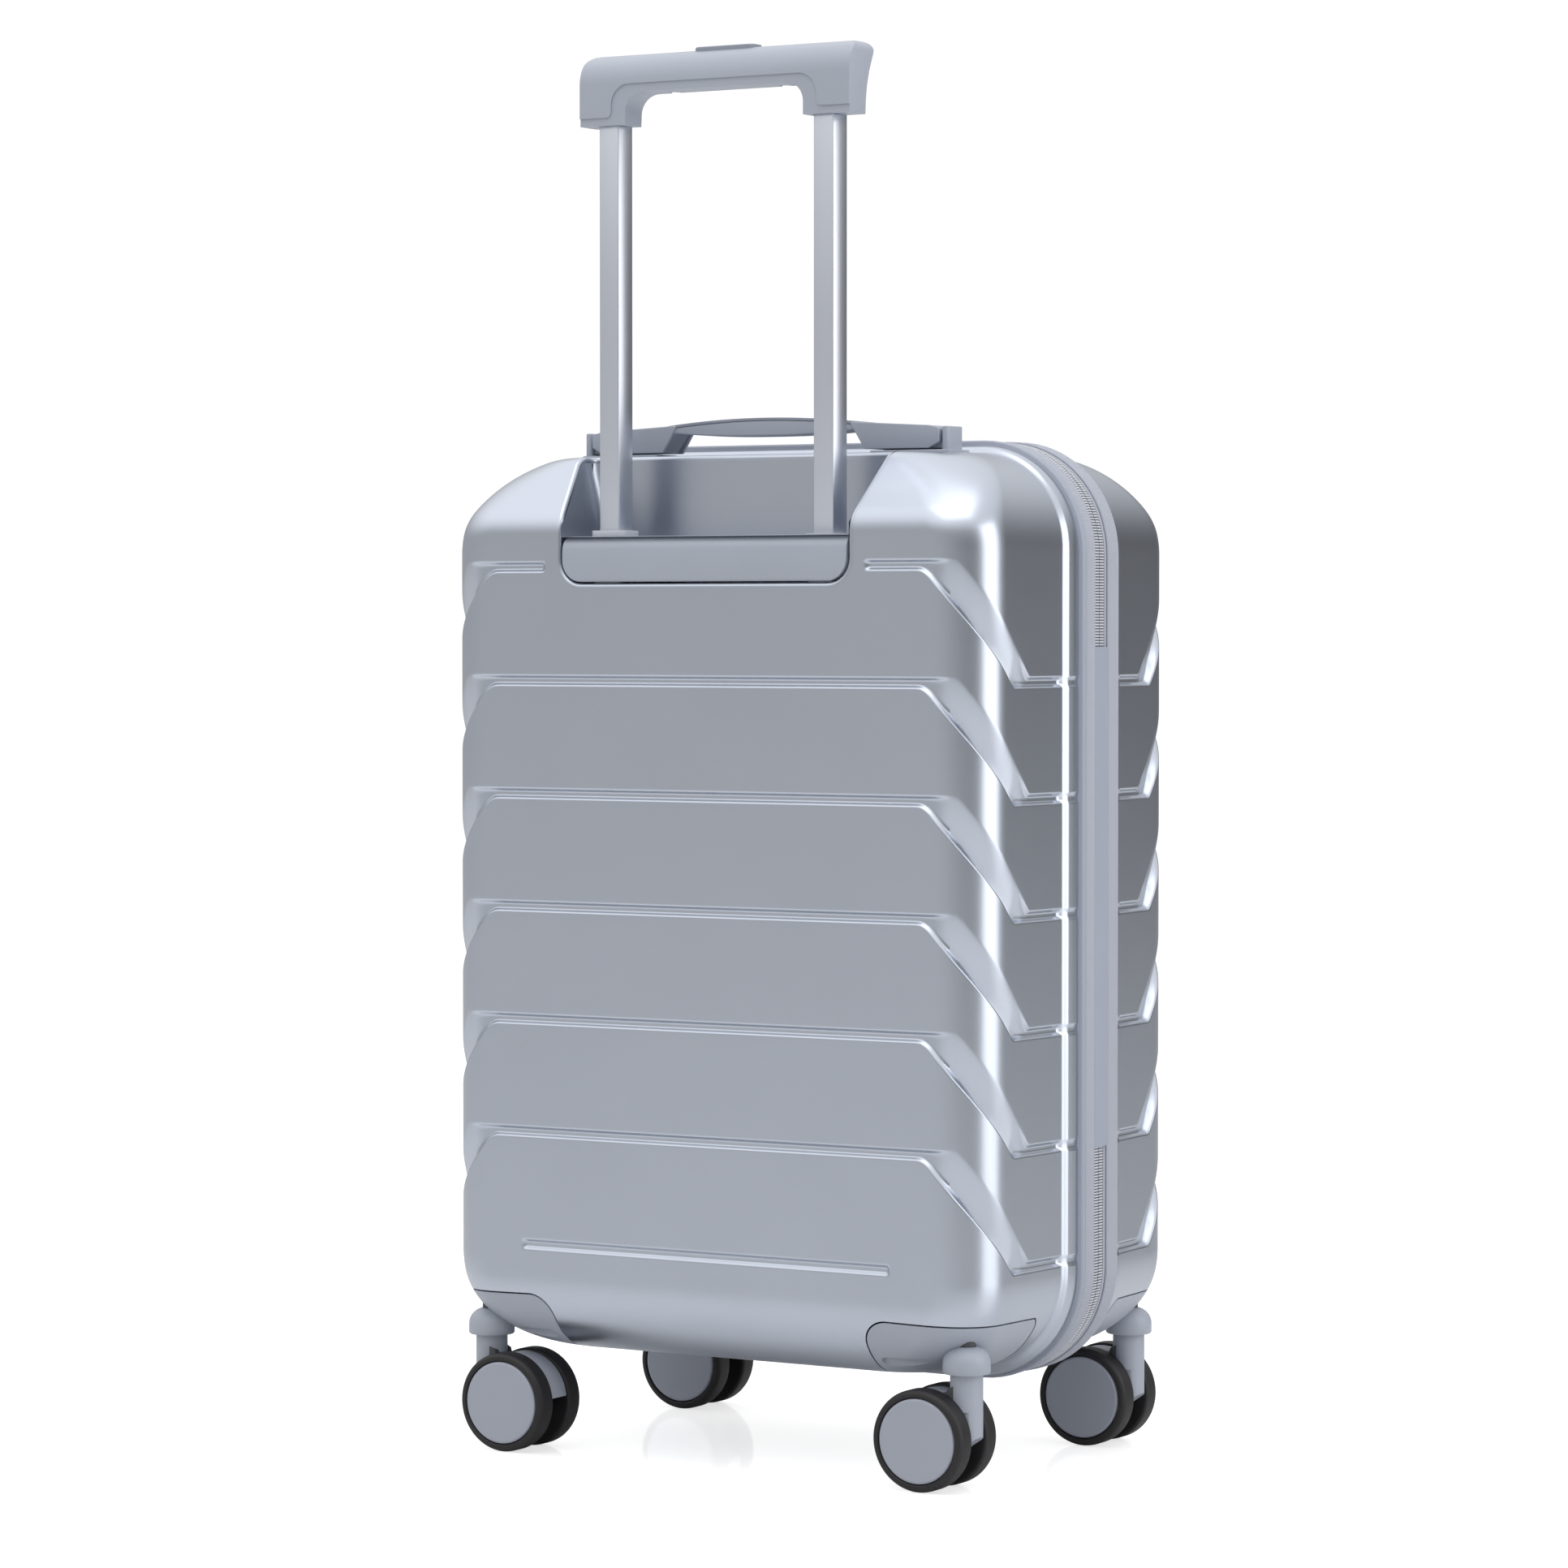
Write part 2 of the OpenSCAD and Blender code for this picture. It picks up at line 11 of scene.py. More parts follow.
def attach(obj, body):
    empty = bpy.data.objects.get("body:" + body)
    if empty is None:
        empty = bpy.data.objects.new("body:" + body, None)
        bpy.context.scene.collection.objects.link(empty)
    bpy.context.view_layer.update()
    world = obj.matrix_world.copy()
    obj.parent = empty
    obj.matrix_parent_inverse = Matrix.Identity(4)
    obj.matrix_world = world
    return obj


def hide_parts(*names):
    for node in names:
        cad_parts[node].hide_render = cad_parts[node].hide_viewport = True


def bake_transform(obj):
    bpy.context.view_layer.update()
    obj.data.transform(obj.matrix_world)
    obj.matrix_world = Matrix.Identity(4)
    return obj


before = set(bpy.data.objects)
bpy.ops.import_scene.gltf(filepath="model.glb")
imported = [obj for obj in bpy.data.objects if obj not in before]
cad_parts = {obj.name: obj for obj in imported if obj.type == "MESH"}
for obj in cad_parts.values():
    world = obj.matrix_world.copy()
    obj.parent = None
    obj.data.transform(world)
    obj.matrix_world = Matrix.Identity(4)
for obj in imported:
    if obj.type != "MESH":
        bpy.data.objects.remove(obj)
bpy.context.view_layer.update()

MM = 0.001            # the scene is in metres

# ---------------------------------------------------------------- sizes, in mm
HALF_W = 169.5        # half width of a shell at its opening
DRAFT, DRAFT_Y = 6.0, -19.0                     # half width lost from this depth to the face
FACE_Y = -110.0       # rear face
EDGE_R = 28.0         # upright edges
CORNER_R = 52.0       # corners seen from the rear
BASE_Z, TOP_Z = 55.0, 532.0
CORNER_X = HALF_W - CORNER_R                    # centres of the corners
CORNER_LOW, CORNER_TOP = BASE_Z + CORNER_R, TOP_Z - CORNER_R
EDGE_GROWTH = 8.0     # how much wider the upright edge gets at the foot and at the top
BELT_LOW = 100.0      # lowest row of the ribbed belt
BEVEL_LOW, BEVEL_END = 497.0, -80.0             # where the bevel leaves the face and meets the top
FOOT_R = 40.0         # lower edge of the face
REAR_OPEN, FRONT_OPEN = -15.8, -25.0
FLAT_END = 136.5      # where the face runs into the upright edge, measured round the shell
ARC_END = 178.9       # where the upright edge runs into the side
GROOVE_Z, PITCH = 471.0, 60.0
WALL = 2.5
RIM_W, RIM_BASE, RIM_TOP, RIM_R = 348.0, 46.4, 539.0, 60.0
BEAD_INSET = 2.3      # how far the rolled bead stays inside the rims
STRIP_LOW, STRIP_TOP = 170.0, 431.0             # ends of the hinge strip
SWIVEL_X, SWIVEL_Y, TRAIL = 146.7, 89.5, 18.7
WHEEL_R, WHEEL_W, WHEEL_GAP = 26.4, 12.0, 15.0
TUBE_X, TUBE_Y, TUBE_FOOT = 65.8, -91.0, 436.0
LINING_Y = -71.6      # flat part of the rear lining, in front of the tubes


# ---------------------------------------------------------------- small tools
def smooth(t):
    t = np.clip(t, 0.0, 1.0)
    return t * t * (3 - 2 * t)


def soft_ramp(x, w):
    """0 below, x above, with the bend rounded over w each way."""
    return np.where(x > w, x, np.where(x < -w, 0.0, (x + w) ** 2 / (4 * w)))


def linear(hex_colour):
    channels = [int(hex_colour[i : i + 2], 16) / 255 for i in (1, 3, 5)]
    return [c / 12.92 if c <= 0.04045 else ((c + 0.055) / 1.055) ** 2.4 for c in channels] + [1.0]


def grid_faces(rows, cols, closed=False, start=0):
    last = cols if closed else cols - 1
    return [
        (start + r * cols + c, start + r * cols + (c + 1) % cols,
         start + (r + 1) * cols + (c + 1) % cols, start + (r + 1) * cols + c)
        for r in range(rows - 1) for c in range(last)
    ]


def mesh_object(name, points, faces, sharp=40):
    """Object from points in mm; faces turned outwards and shaded smooth up to the sharp angle."""
    mesh = bpy.data.meshes.new(name)
    mesh.from_pydata([tuple(p) for p in np.asarray(points, float) * MM], [], [tuple(f) for f in faces])
    bm = bmesh.new()
    bm.from_mesh(mesh)
    bmesh.ops.remove_doubles(bm, verts=bm.verts, dist=1e-6)
    bmesh.ops.recalc_face_normals(bm, faces=bm.faces)
    bm.to_mesh(mesh)
    bm.free()
    made = bpy.data.objects.new(name, mesh)
    bpy.context.scene.collection.objects.link(made)
    shade(made, sharp)
    return made


def shade(made, sharp=40):
    made.data.shade_smooth()
    made.data.set_sharp_from_angle(angle=math.radians(sharp))


def baked(made):
    """Applies every modifier to the mesh."""
    graph = bpy.context.evaluated_depsgraph_get()
    mesh = bpy.data.meshes.new_from_object(made.evaluated_get(graph))
    made.modifiers.clear()
    old = made.data
    made.data = mesh
    mesh.name = made.name
    bpy.data.meshes.remove(old)
    shade(made)
    return made


def carve(base, tool, how="DIFFERENCE"):
    """Cuts the tool out of the base, or keeps only what both share, and removes the tool."""
    cut = base.modifiers.new("cut", "BOOLEAN")
    cut.operation = how
    cut.solver = "MANIFOLD"
    cut.object = tool
    baked(base)
    bpy.data.objects.remove(tool)
    return base


def eased(made, width, steps=3, angle=35):
    """Rounds every edge that is sharper than the angle, over a width in mm."""
    bevel = made.modifiers.new("ease", "BEVEL")
    bevel.width = width * MM
    bevel.segments = steps
    bevel.limit_method = "ANGLE"
    bevel.angle_limit = math.radians(angle)
    return baked(made)


def rounded(points, radii, steps=6):
    """Polygon with its corners rounded; a radius of 0 keeps a corner."""
    out, n = [], len(points)
    for i in range(n):
        q = np.array(points[i], float)
        p, s = np.array(points[i - 1], float), np.array(points[(i + 1) % n], float)
        r = radii[i] if hasattr(radii, "__len__") else radii
        if r <= 0:
            out.append(q)
            continue
        u, v = (p - q) / np.linalg.norm(p - q), (s - q) / np.linalg.norm(s - q)
        half = math.acos(np.clip(u @ v, -1, 1)) / 2
        c = q + (u + v) / np.linalg.norm(u + v) * r / math.sin(half)
        a, b = q + u * r / math.tan(half) - c, q + v * r / math.tan(half) - c
        start = math.atan2(a[1], a[0])
        sweep = (math.atan2(b[1], b[0]) - start + math.pi) % (2 * math.pi) - math.pi
        out += [c + r * np.array([math.cos(start + sweep * k / steps), math.sin(start + sweep * k / steps)])
                for k in range(steps + 1)]
    return out


def prism(name, outline, axis, low, high):
    """Outline extruded along an axis: "y" takes (x, z), "x" takes (y, z) and "z" takes (x, y) points."""
    place = {"y": lambda p, h: (p[0], h, p[1]), "x": lambda p, h: (h, p[0], p[1]), "z": lambda p,
             h: (p[0], p[1], h)}
    n = len(outline)
    points = [place[axis](p, h) for h in (low, high) for p in outline]
    faces = [tuple(range(n)), tuple(range(2 * n - 1, n - 1, -1))] + grid_faces(2, n, True)
    return mesh_object(name, points, faces)


def box(name, low, high):
    """Block between two opposite corners, given in any order."""
    (x0, x1), (y0, y1), (z0, z1) = (sorted(pair) for pair in zip(low, high))
    return prism(name, [(x0, y0), (x1, y0), (x1, y1), (x0, y1)], "z", z0, z1)


def turned(name, profile, steps=64):
    """Closed (radius, height) profile turned about Z; points at radius 0 close it."""
    points, faces, rings = [], [], []
    for r, h in profile:
        if r < 1e-6:
            rings.append([len(points)])
            points.append((0, 0, h))
        else:
            rings.append([len(points) + k for k in range(steps)])
            points += [(r * math.cos(2 * math.pi * k / steps), r * math.sin(2 * math.pi * k / steps), h)
                       for k in range(steps)]
    closed = profile[0][0] > 1e-6
    for i in range(len(rings) if closed else len(rings) - 1):
        a, b = rings[i], rings[(i + 1) % len(rings)]
        for k in range(steps):
            quad = [a[k % len(a)], a[(k + 1) % len(a)], b[(k + 1) % len(b)], b[k % len(b)]]
            kept = list(dict.fromkeys(quad))
            if len(kept) > 2:
                faces.append(tuple(kept))
    return mesh_object(name, points, faces)


def joined(name, parts, sharp=40):
    bm = bmesh.new()
    for part in parts:
        part.data.transform(part.matrix_world)
        bm.from_mesh(part.data)
    mesh = bpy.data.meshes.new(name)
    bm.to_mesh(mesh)
    bm.free()
    for part in parts:
        bpy.data.objects.remove(part)
    made = bpy.data.objects.new(name, mesh)
    bpy.context.scene.collection.objects.link(made)
    shade(made, sharp)
    return made


def flipped(made, axis):
    """Mirrors a piece in place across the plane through the origin."""
    scale = [1, 1, 1, 1]
    scale["xyz".index(axis)] = -1
    made.data.transform(Matrix.Diagonal(scale))
    made.data.flip_normals()
    return made


def moved(made, x, y, z):
    """Shifts a piece's mesh by a distance in mm."""
    made.data.transform(Matrix.Translation((x * MM, y * MM, z * MM)))
    return made


def duplicate(made, name):
    copy = made.copy()
    copy.data = made.data.copy()
    copy.name = copy.data.name = name
    bpy.context.scene.collection.objects.link(copy)
    return copy


def rectangle(x, y, half_x, half_y, radii, steps):
    corners = [(x - half_x, y - half_y), (x + half_x, y - half_y), (x + half_x, y + half_y),
               (x - half_x, y + half_y)]
    return rounded(corners, radii, steps)


# ---------------------------------------------------------------- finishes
PLASTIC_IOR, COAT_ROUGHNESS = 1.5, 0.1
CLOUD_MM = 60         # size of the slight cloudiness in a moulded colour
THREAD_ROUGHNESS, THREAD_SHEEN = 0.85, 0.2


def new_finish(name):
    finish = bpy.data.materials.new(name)
    finish.use_nodes = True
    finish.node_tree.nodes.clear()
    return finish, finish.node_tree


def add_node(tree, kind, settings=None, values=None, links=None):
    """One node: settings are its attributes, values its unlinked sockets, links the sockets fed by others."""
    node = tree.nodes.new(kind)
    for key, value in (settings or {}).items():
        setattr(node, key, value)
    for key, value in (values or {}).items():
        node.inputs[key].default_value = value
    for key, source in (links or {}).items():
        tree.links.new(source, node.inputs[key])
    return node


def moulded(name, colour, roughness, grain_mm, grain_height_mm, shade_colour=None, metallic=0.0, coat=0.0,
            stretch=(1, 1, 1)):
    """Moulded or sprayed surface: an even colour with a slight cloudiness, over a fine grain."""
    finish, tree = new_finish(name)
    place = add_node(tree, "ShaderNodeTexCoord")
    scaled = add_node(tree, "ShaderNodeMapping", values={"Scale": [s * 1000 / grain_mm for s in stretch]},
                      links={"Vector": place.outputs["Object"]})
    grain = add_node(tree, "ShaderNodeTexNoise", values={"Scale": 1.0, "Detail": 2.0, "Roughness": 0.6},
                     links={"Vector": scaled.outputs["Vector"]})
    cloud = add_node(tree, "ShaderNodeTexNoise", values={"Scale": 1000 / CLOUD_MM, "Detail": 1.0},
                     links={"Vector": place.outputs["Object"]})
    tint = add_node(tree, "ShaderNodeMix", {"data_type": "RGBA"},
                    {"A": linear(colour), "B": linear(shade_colour or colour)},
                    {"Factor": cloud.outputs["Fac"]})
    bump = add_node(tree, "ShaderNodeBump", values={"Strength": 1.0, "Distance": grain_height_mm * MM},
                    links={"Height": grain.outputs["Fac"]})
    shader = add_node(tree, "ShaderNodeBsdfPrincipled",
                      values={"Metallic": metallic, "Roughness": roughness, "IOR": PLASTIC_IOR,
                              "Coat Weight": coat,
                              "Coat Roughness": COAT_ROUGHNESS},
                      links={"Base Color": tint.outputs["Result"], "Normal": bump.outputs["Normal"]})
    add_node(tree, "ShaderNodeOutputMaterial", links={"Surface": shader.outputs["BSDF"]})
    return finish


def woven(name, colour, dark, thread_mm):
    """Plain weave: two sets of threads that pass over and under each other."""
    finish, tree = new_finish(name)
    place = add_node(tree, "ShaderNodeTexCoord")
    # the wave texture runs through one band in 2 pi / 20 of a metre at scale 1
    turn = 2 * math.pi * 1000 / thread_mm / 20
    waves = [add_node(tree, "ShaderNodeTexWave", {"bands_direction": axis}, {"Scale": turn},
                      {"Vector": place.outputs["Object"]}) for axis in ("X", "Y", "Z")]
    cross = add_node(tree, "ShaderNodeMath", {"operation": "MULTIPLY"},
                     links={0: waves[0].outputs["Fac"], 1: waves[2].outputs["Fac"]})
    weave = add_node(tree, "ShaderNodeMath", {"operation": "ADD"},
                     links={0: cross.outputs[0], 1: waves[1].outputs["Fac"]})
    tint = add_node(tree, "ShaderNodeMix", {"data_type": "RGBA"}, {"A": linear(dark), "B": linear(colour)},
                    {"Factor": weave.outputs[0]})
    bump = add_node(tree, "ShaderNodeBump", values={"Strength": 0.6, "Distance": 0.0002},
                    links={"Height": weave.outputs[0]})
    shader = add_node(tree, "ShaderNodeBsdfPrincipled",
                      values={"Roughness": THREAD_ROUGHNESS, "Sheen Weight": THREAD_SHEEN},
                      links={"Base Color": tint.outputs["Result"], "Normal": bump.outputs["Normal"]})
    add_node(tree, "ShaderNodeOutputMaterial", links={"Surface": shader.outputs["BSDF"]})
    return finish


# Polycarbonate with a satin silver film, vacuum formed: metallic, with soft broad highlights
# and a fine brushed grain.
silver_film = moulded("silver_film_polycarbonate", "#BEC4CF", 0.31, 0.9, 0.003, "#BAC0CB", metallic=1.0,
                      stretch=(0.25, 0.25, 1.0))
# Moulded ABS, spark-eroded texture: an even grey with a dull sheen.
grey_abs = moulded("textured_abs", "#A7ADB9", 0.42, 0.7, 0.012, "#A1A7B3")
# The same ABS a shade darker, for the button and the handle's top band.
dusk_abs = moulded("textured_abs_darker", "#8D93A0", 0.42, 0.7, 0.012, "#878D9A")
# Moulded nylon, polished mould: lighter and a little glossier.
pale_nylon = moulded("smooth_nylon", "#C9CCD4", 0.4, 1.2, 0.003, "#C4C7CF")
# Moulded ABS for inner parts, plain mould: dark and dull.
dark_abs = moulded("plain_dark_abs", "#46484C", 0.55, 1.0, 0.01, "#404246")
# Extruded PVC piping: smooth and slightly waxy.
grey_piping = moulded("extruded_pvc_piping", "#9FA5B4", 0.4, 2.0, 0.004, "#9AA0AE")
# Thermoplastic elastomer, moulded: soft-touch, with no sharp highlight.
soft_elastomer = moulded("soft_touch_elastomer", "#A3A9B6", 0.6, 0.6, 0.01, "#9EA4B0")
# Anodised aluminium, drawn and etched: a satin metal with streaks along the tube.
anodised_tube = moulded("satin_anodised_aluminium", "#D2D6DF", 0.36, 0.5, 0.005, "#CDD1DA", metallic=1.0,
                        stretch=(1, 1, 0.12))
# Zinc-plated steel, as rolled: bright and smooth.
plated_steel = moulded("zinc_plated_steel", "#B9BABC", 0.3, 0.6, 0.003, metallic=1.0)
# Cast polyurethane: near black, dull, faintly cloudy.
black_polyurethane = moulded("cast_polyurethane", "#19171A", 0.55, 0.8, 0.008, "#1D1B1E")
# Moulded ABS wheel disc, fine satin texture.
satin_disc = moulded("satin_abs_disc", "#A3A8B4", 0.4, 0.8, 0.006, "#9FA4B0")
# Zinc casting with baked paint: smooth, half gloss.
painted_zinc = moulded("painted_zinc_casting", "#8D929B", 0.35, 1.0, 0.003, "#888D96", coat=0.3)
# Polyester zip tape, woven: fine threads 0.6 mm apart, dull.
zip_weave = woven("woven_polyester_tape", "#ABB0BD", "#9CA1AE", 0.6)
# The same tape in the shade under the coil teeth: darker, with the same 0.6 mm threads.
shaded_weave = woven("woven_tape_under_coil", "#646872", "#4B4F58", 0.6)
# Polyester lining, plain weave: drawn at 0.8 mm, coarser than the real 0.25 mm, so that it shows.
lining_weave = woven("plain_weave_lining", "#5D6067", "#4C4F56", 0.8)
# Polypropylene webbing: heavy black weave with 1.2 mm threads.
strap_weave = woven("black_webbing", "#26262A", "#18181B", 1.2)


def finished(made, finish, body, stands_for=()):
    made.data.materials.clear()
    made.data.materials.append(finish)
    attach(made, body)
    if stands_for:
        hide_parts(*stands_for)
    return made


# ---------------------------------------------------------------- ribbed shells
def rib_lines(k, s):
    """Heights of the lower and upper edge of groove k at the distance s round the shell."""
    fall = PITCH / 53
    low = GROOVE_Z - PITCH * (k - 1) - fall * soft_ramp(s - 133, 4.5) + fall * soft_ramp(s - 186, 1.2)
    high = GROOVE_Z + 4.6 - PITCH * (k - 1) - 1.2 * soft_ramp(s - 150, 2.5) + 1.2 * soft_ramp(s - 200, 1.5)
    if k == 7:
        low = 111 - 0.1 * (soft_ramp(s - 125, 3) - soft_ramp(s - 186, 3))
        high = 115.6 - 0.134 * (soft_ramp(s - 125, 3) - soft_ramp(s - 186, 3))
    return low, high


def rib_depth(k, s, z, first_from):
    """Depth of the moulded groove, and of the slanting facet that it opens into round the upright edge."""
    low, high = rib_lines(k, s)
    c_low = np.sqrt(1 + np.gradient(low, s) ** 2)
    c_high = np.sqrt(1 + np.gradient(high, s) ** 2)
    above = (z - low) / c_low + 1.2
    below = (high - z) / c_high + 0.6
    groove = 1.9 * smooth(above / 2.5) * smooth(below / 2.4)
    if k == 7:
        return groove * 0.85 * smooth((112.8 - s) / 1.8)
    valley = np.interp(s, [134, 142, 152, 165, 178, 187, 197, 203],
                       [1.9, 2.4, 4.2, 5.6, 5.2, 3.6, 2.2, 1.9])
    opened = smooth((s - 138) / 10) * (1 - smooth((s - 190) / 12))
    width = np.maximum((high - low) / c_high - 1.0, 2.0)
    facet = valley * smooth(above / 2.9) * np.minimum(soft_ramp(below, 0.9) / width, 1.0) ** 1.35
    depth = groove * (1 - opened) + facet * opened
    if k == 1 and first_from:
        depth = depth * smooth((s - first_from) / 1.8)
    return depth


def round_path(points, radii, steps=10):
    """Open polyline with rounded bends, as (position, distance along it)."""
    path = [np.array(points[0], float)]
    for i in range(1, len(points) - 1):
        bend = rounded([points[i - 1], points[i], points[i + 1]], [0, radii[i - 1], 0], steps)
        path += bend[1:-1]
    path.append(np.array(points[-1], float))
    path = np.array(path)
    along = np.concatenate([[0], np.cumsum(np.linalg.norm(np.diff(path, axis=0), axis=1))])
    return path, along


def bevel_path():
    """Side view of the bevel between the face and the top, with the distance along it."""
    return round_path([(FACE_Y, CORNER_TOP), (FACE_Y, BEVEL_LOW), (BEVEL_END, TOP_Z), (-68, TOP_Z)],
                      [20, 12], 14)


def column_marks(open_y, coarse):
    """Distances round one half of the shell from the middle of the face to the opening."""
    end = ARC_END + (open_y + 82)
    if coarse:
        marks = [np.arange(0, 132, 12), np.arange(132, ARC_END, 2), np.arange(ARC_END, end, 3), [end]]
    else:
        marks = [np.arange(0, 92, 6), np.arange(92, 118, 1.0), np.arange(118, 130, 2),
                 np.arange(130, 206, 1.0),
                 np.arange(206, end - 17, 2.5), np.arange(end - 17, end, 0.75), [end]]
    return np.concatenate(marks), end


def band_rows(s, coarse):
    """Heights of the rows of the belt's right half, each row as one height per column, from the bottom up."""
    near_low = [-2.2, -1.6, -1.2, -0.8, -0.3, 0.2, 0.7, 1.3]
    near_high = [-1.9, -1.4, -0.9, -0.4, 0.1, 0.5, 0.9, 1.5]
    if coarse:
        near_low, near_high = [-1.2, 1.3], [-1.9, 0.6]
    rows, floor = [], np.full_like(s, BELT_LOW)
    for k in range(7, 0, -1):
        low, high = rib_lines(k, s)
        c_low = np.sqrt(1 + np.gradient(low, s) ** 2)
        c_high = np.sqrt(1 + np.gradient(high, s) ** 2)
        squeeze = np.interp(s, [120, 186], [1.0, 0.4]) if k == 7 else 1.0
        first, last = low + near_low[0] * c_low * squeeze, high + near_high[-1] * c_high * squeeze
        panel = (2 if coarse else 5) if k == 7 else (3 if coarse else 9)
        rows += [floor + (first - floor) * t for t in np.linspace(0, 1, panel, endpoint=False)]
        rows += [low + d * c_low * squeeze for d in near_low]
        inner, outer = rows[-1], high + near_high[0] * c_high * squeeze
        between = 1 if coarse else 5
        rows += [inner + (outer - inner) * (j + 1) / (between + 1) for j in range(between)]
        rows += [high + d * c_high * squeeze for d in near_high]
        floor = last
    top = np.full_like(s, CORNER_TOP)
    return rows + [(floor + top) / 2, top]


def shell_surface(open_y, coarse=False, first_from=None, inset=0.0):
    """Rows of points over one half shell, each running round it from opening to opening."""
    marks, end = column_marks(open_y, coarse)
    s = np.concatenate([-marks[::-1][:-1], marks])
    side_of, a = np.sign(s), np.abs(s)
    theta = np.clip((a - FLAT_END) / (ARC_END - FLAT_END), 0, 1) * math.pi / 2
    along = np.clip((a - ARC_END) / (end - ARC_END), 0, 1)
    flat = np.clip(a / FLAT_END, 0, 1)
    on_side = smooth(theta / (math.pi / 2))

    def ring(half_w, back, r, z_side, z_back):
        x = np.where(a <= FLAT_END, flat * (half_w - r), half_w - r + r * np.sin(theta))
        y = np.where(a <= ARC_END, back + r - r * np.cos(theta), 0)
        y = np.where(a > ARC_END, back + r + along * (open_y - back - r), y)
        x = x * (1 - DRAFT / HALF_W * (DRAFT_Y - y) / (DRAFT_Y - FACE_Y))
        z = z_back + (z_side - z_back) * on_side
        return np.stack([side_of * x, y, np.broadcast_to(z, x.shape)], 1)

    bead_start = -29.3 if open_y == REAR_OPEN else -35.0
    bead_length = 8.5 if open_y == REAR_OPEN else 4.0

    def with_bead(points, target_x, target_z, top_share):
        """Turns the edge outwards into a rolled bead beside the opening."""
        y = points[:, 1]
        first = y - bead_start - 5.5 * top_share
        rise = 0.6 * smooth(first / 4.2) + 0.4 * smooth((first - 1.5) / bead_length)
        rise = rise * (1 - 0.25 * smooth((y - open_y + 2.5) / 2.5))
        out = points.copy()
        out[:, 0] += (side_of * target_x - points[:, 0]) * rise
        out[:, 2] += (target_z - points[:, 2]) * rise
        return out

    edge_x, edge_r = RIM_W / 2 - BEAD_INSET, RIM_R - BEAD_INSET
    low_c, high_c = RIM_BASE + BEAD_INSET + edge_r, RIM_TOP - BEAD_INSET - edge_r
    rows = []
    shrink = np.linspace(0, 1, 20 if coarse else 40)
    shrink = np.where(shrink < 0.4, shrink / 0.4 * 0.62, 0.62 + (shrink - 0.4) / 0.6 * 0.37)

    def cap(ring_points, target_z, top_share):
        """Closes the form towards its middle, above or below a ring."""
        made = []
        for q in shrink[1:][::-1]:
            p = ring_points.copy()
            p[:, 0] *= 1 - q
            p[:, 1] = open_y + (p[:, 1] - open_y) * (1 - q)
            made.append(with_bead(p, np.abs(p[:, 0]), np.full(len(p), target_z), top_share))
        return made

    # underside and lower corners
    start = math.asin((CORNER_LOW - BELT_LOW) / CORNER_R)
    lower = []
    for phi in np.linspace(start, math.pi / 2, 22 if coarse else 30)[1:]:
        z = CORNER_LOW - CORNER_R * math.sin(phi)
        drop = max(BASE_Z + FOOT_R - z, 0)
        back = FACE_Y + FOOT_R - math.sqrt(max(FOOT_R**2 - drop**2, 0))
        r = EDGE_R + EDGE_GROWTH * float(smooth((phi - start) / (math.pi / 2 - start)))
        points = ring(CORNER_X + CORNER_R * math.cos(phi), back, r, z, z)
        lower.append((points, phi))
    rows += cap(lower[-1][0], RIM_BASE + BEAD_INSET, 0.0)
    for points, phi in lower[::-1]:
        rows.append(with_bead(points, edge_x - edge_r + edge_r * math.cos(phi),
                              low_c - edge_r * math.sin(phi), 0.0))
    # ribbed belt
    for z in band_rows(marks, coarse):
        z = np.concatenate([z[::-1][:-1], z])
        drop = np.clip(CORNER_LOW - z, 0, CORNER_R)
        half_w = CORNER_X + np.sqrt(CORNER_R**2 - drop**2)
        points = ring(half_w, FACE_Y, EDGE_R, z, z)
        depth = sum(rib_depth_signed(k, s, z, first_from) for k in range(1, 8))
        fade = 1 - smooth((points[:, 1] - bead_start + 2.5) / 4)
        normal = np.stack([side_of * np.sin(theta), -np.cos(theta)], 1)
        points[:, :2] -= normal * (depth * fade)[:, None]
        dent = 1 + 0.35 * depth * (1 - fade)
        target = edge_x - edge_r + np.sqrt(edge_r**2 - np.clip(low_c - z, 0, edge_r) ** 2) - (dent - 1)
        rows.append(with_bead(points, target, z, 0.0))
    # bevelled top and upper corners
    path, run = bevel_path()
    for phi in np.linspace(0, math.pi / 2, 34 if coarse else 44)[1:]:
        share = phi / (math.pi / 2)
        back = np.interp(share * run[-1], run, path[:, 0])
        z_back = np.interp(share * run[-1], run, path[:, 1])
        z_side = CORNER_TOP + CORNER_R * math.sin(phi)
        points = ring(CORNER_X + CORNER_R * math.cos(phi), back,
                      EDGE_R + EDGE_GROWTH * float(smooth(share)), z_side, z_back)
        rows.append(with_bead(points, edge_x - edge_r + edge_r * math.cos(phi),
                              high_c + edge_r * math.sin(phi), share))
    rows += cap(points, RIM_TOP - BEAD_INSET, 1.0)[::-1]
    surface = np.array(rows)
    if inset:
        across = np.gradient(surface, axis=1)
        up = np.gradient(surface, axis=0)
        normal = np.cross(across, up)
        normal /= np.maximum(np.linalg.norm(normal, axis=2, keepdims=True), 1e-9)
        surface = surface - normal * inset
    return surface


def rib_depth_signed(k, s, z, first_from):
    """Same groove on both halves; s runs from the left opening through the middle to the right one."""
    n = len(s) // 2
    right = rib_depth(k, s[n:], z[n:], first_from)
    return np.concatenate([right[::-1][:-1], right])


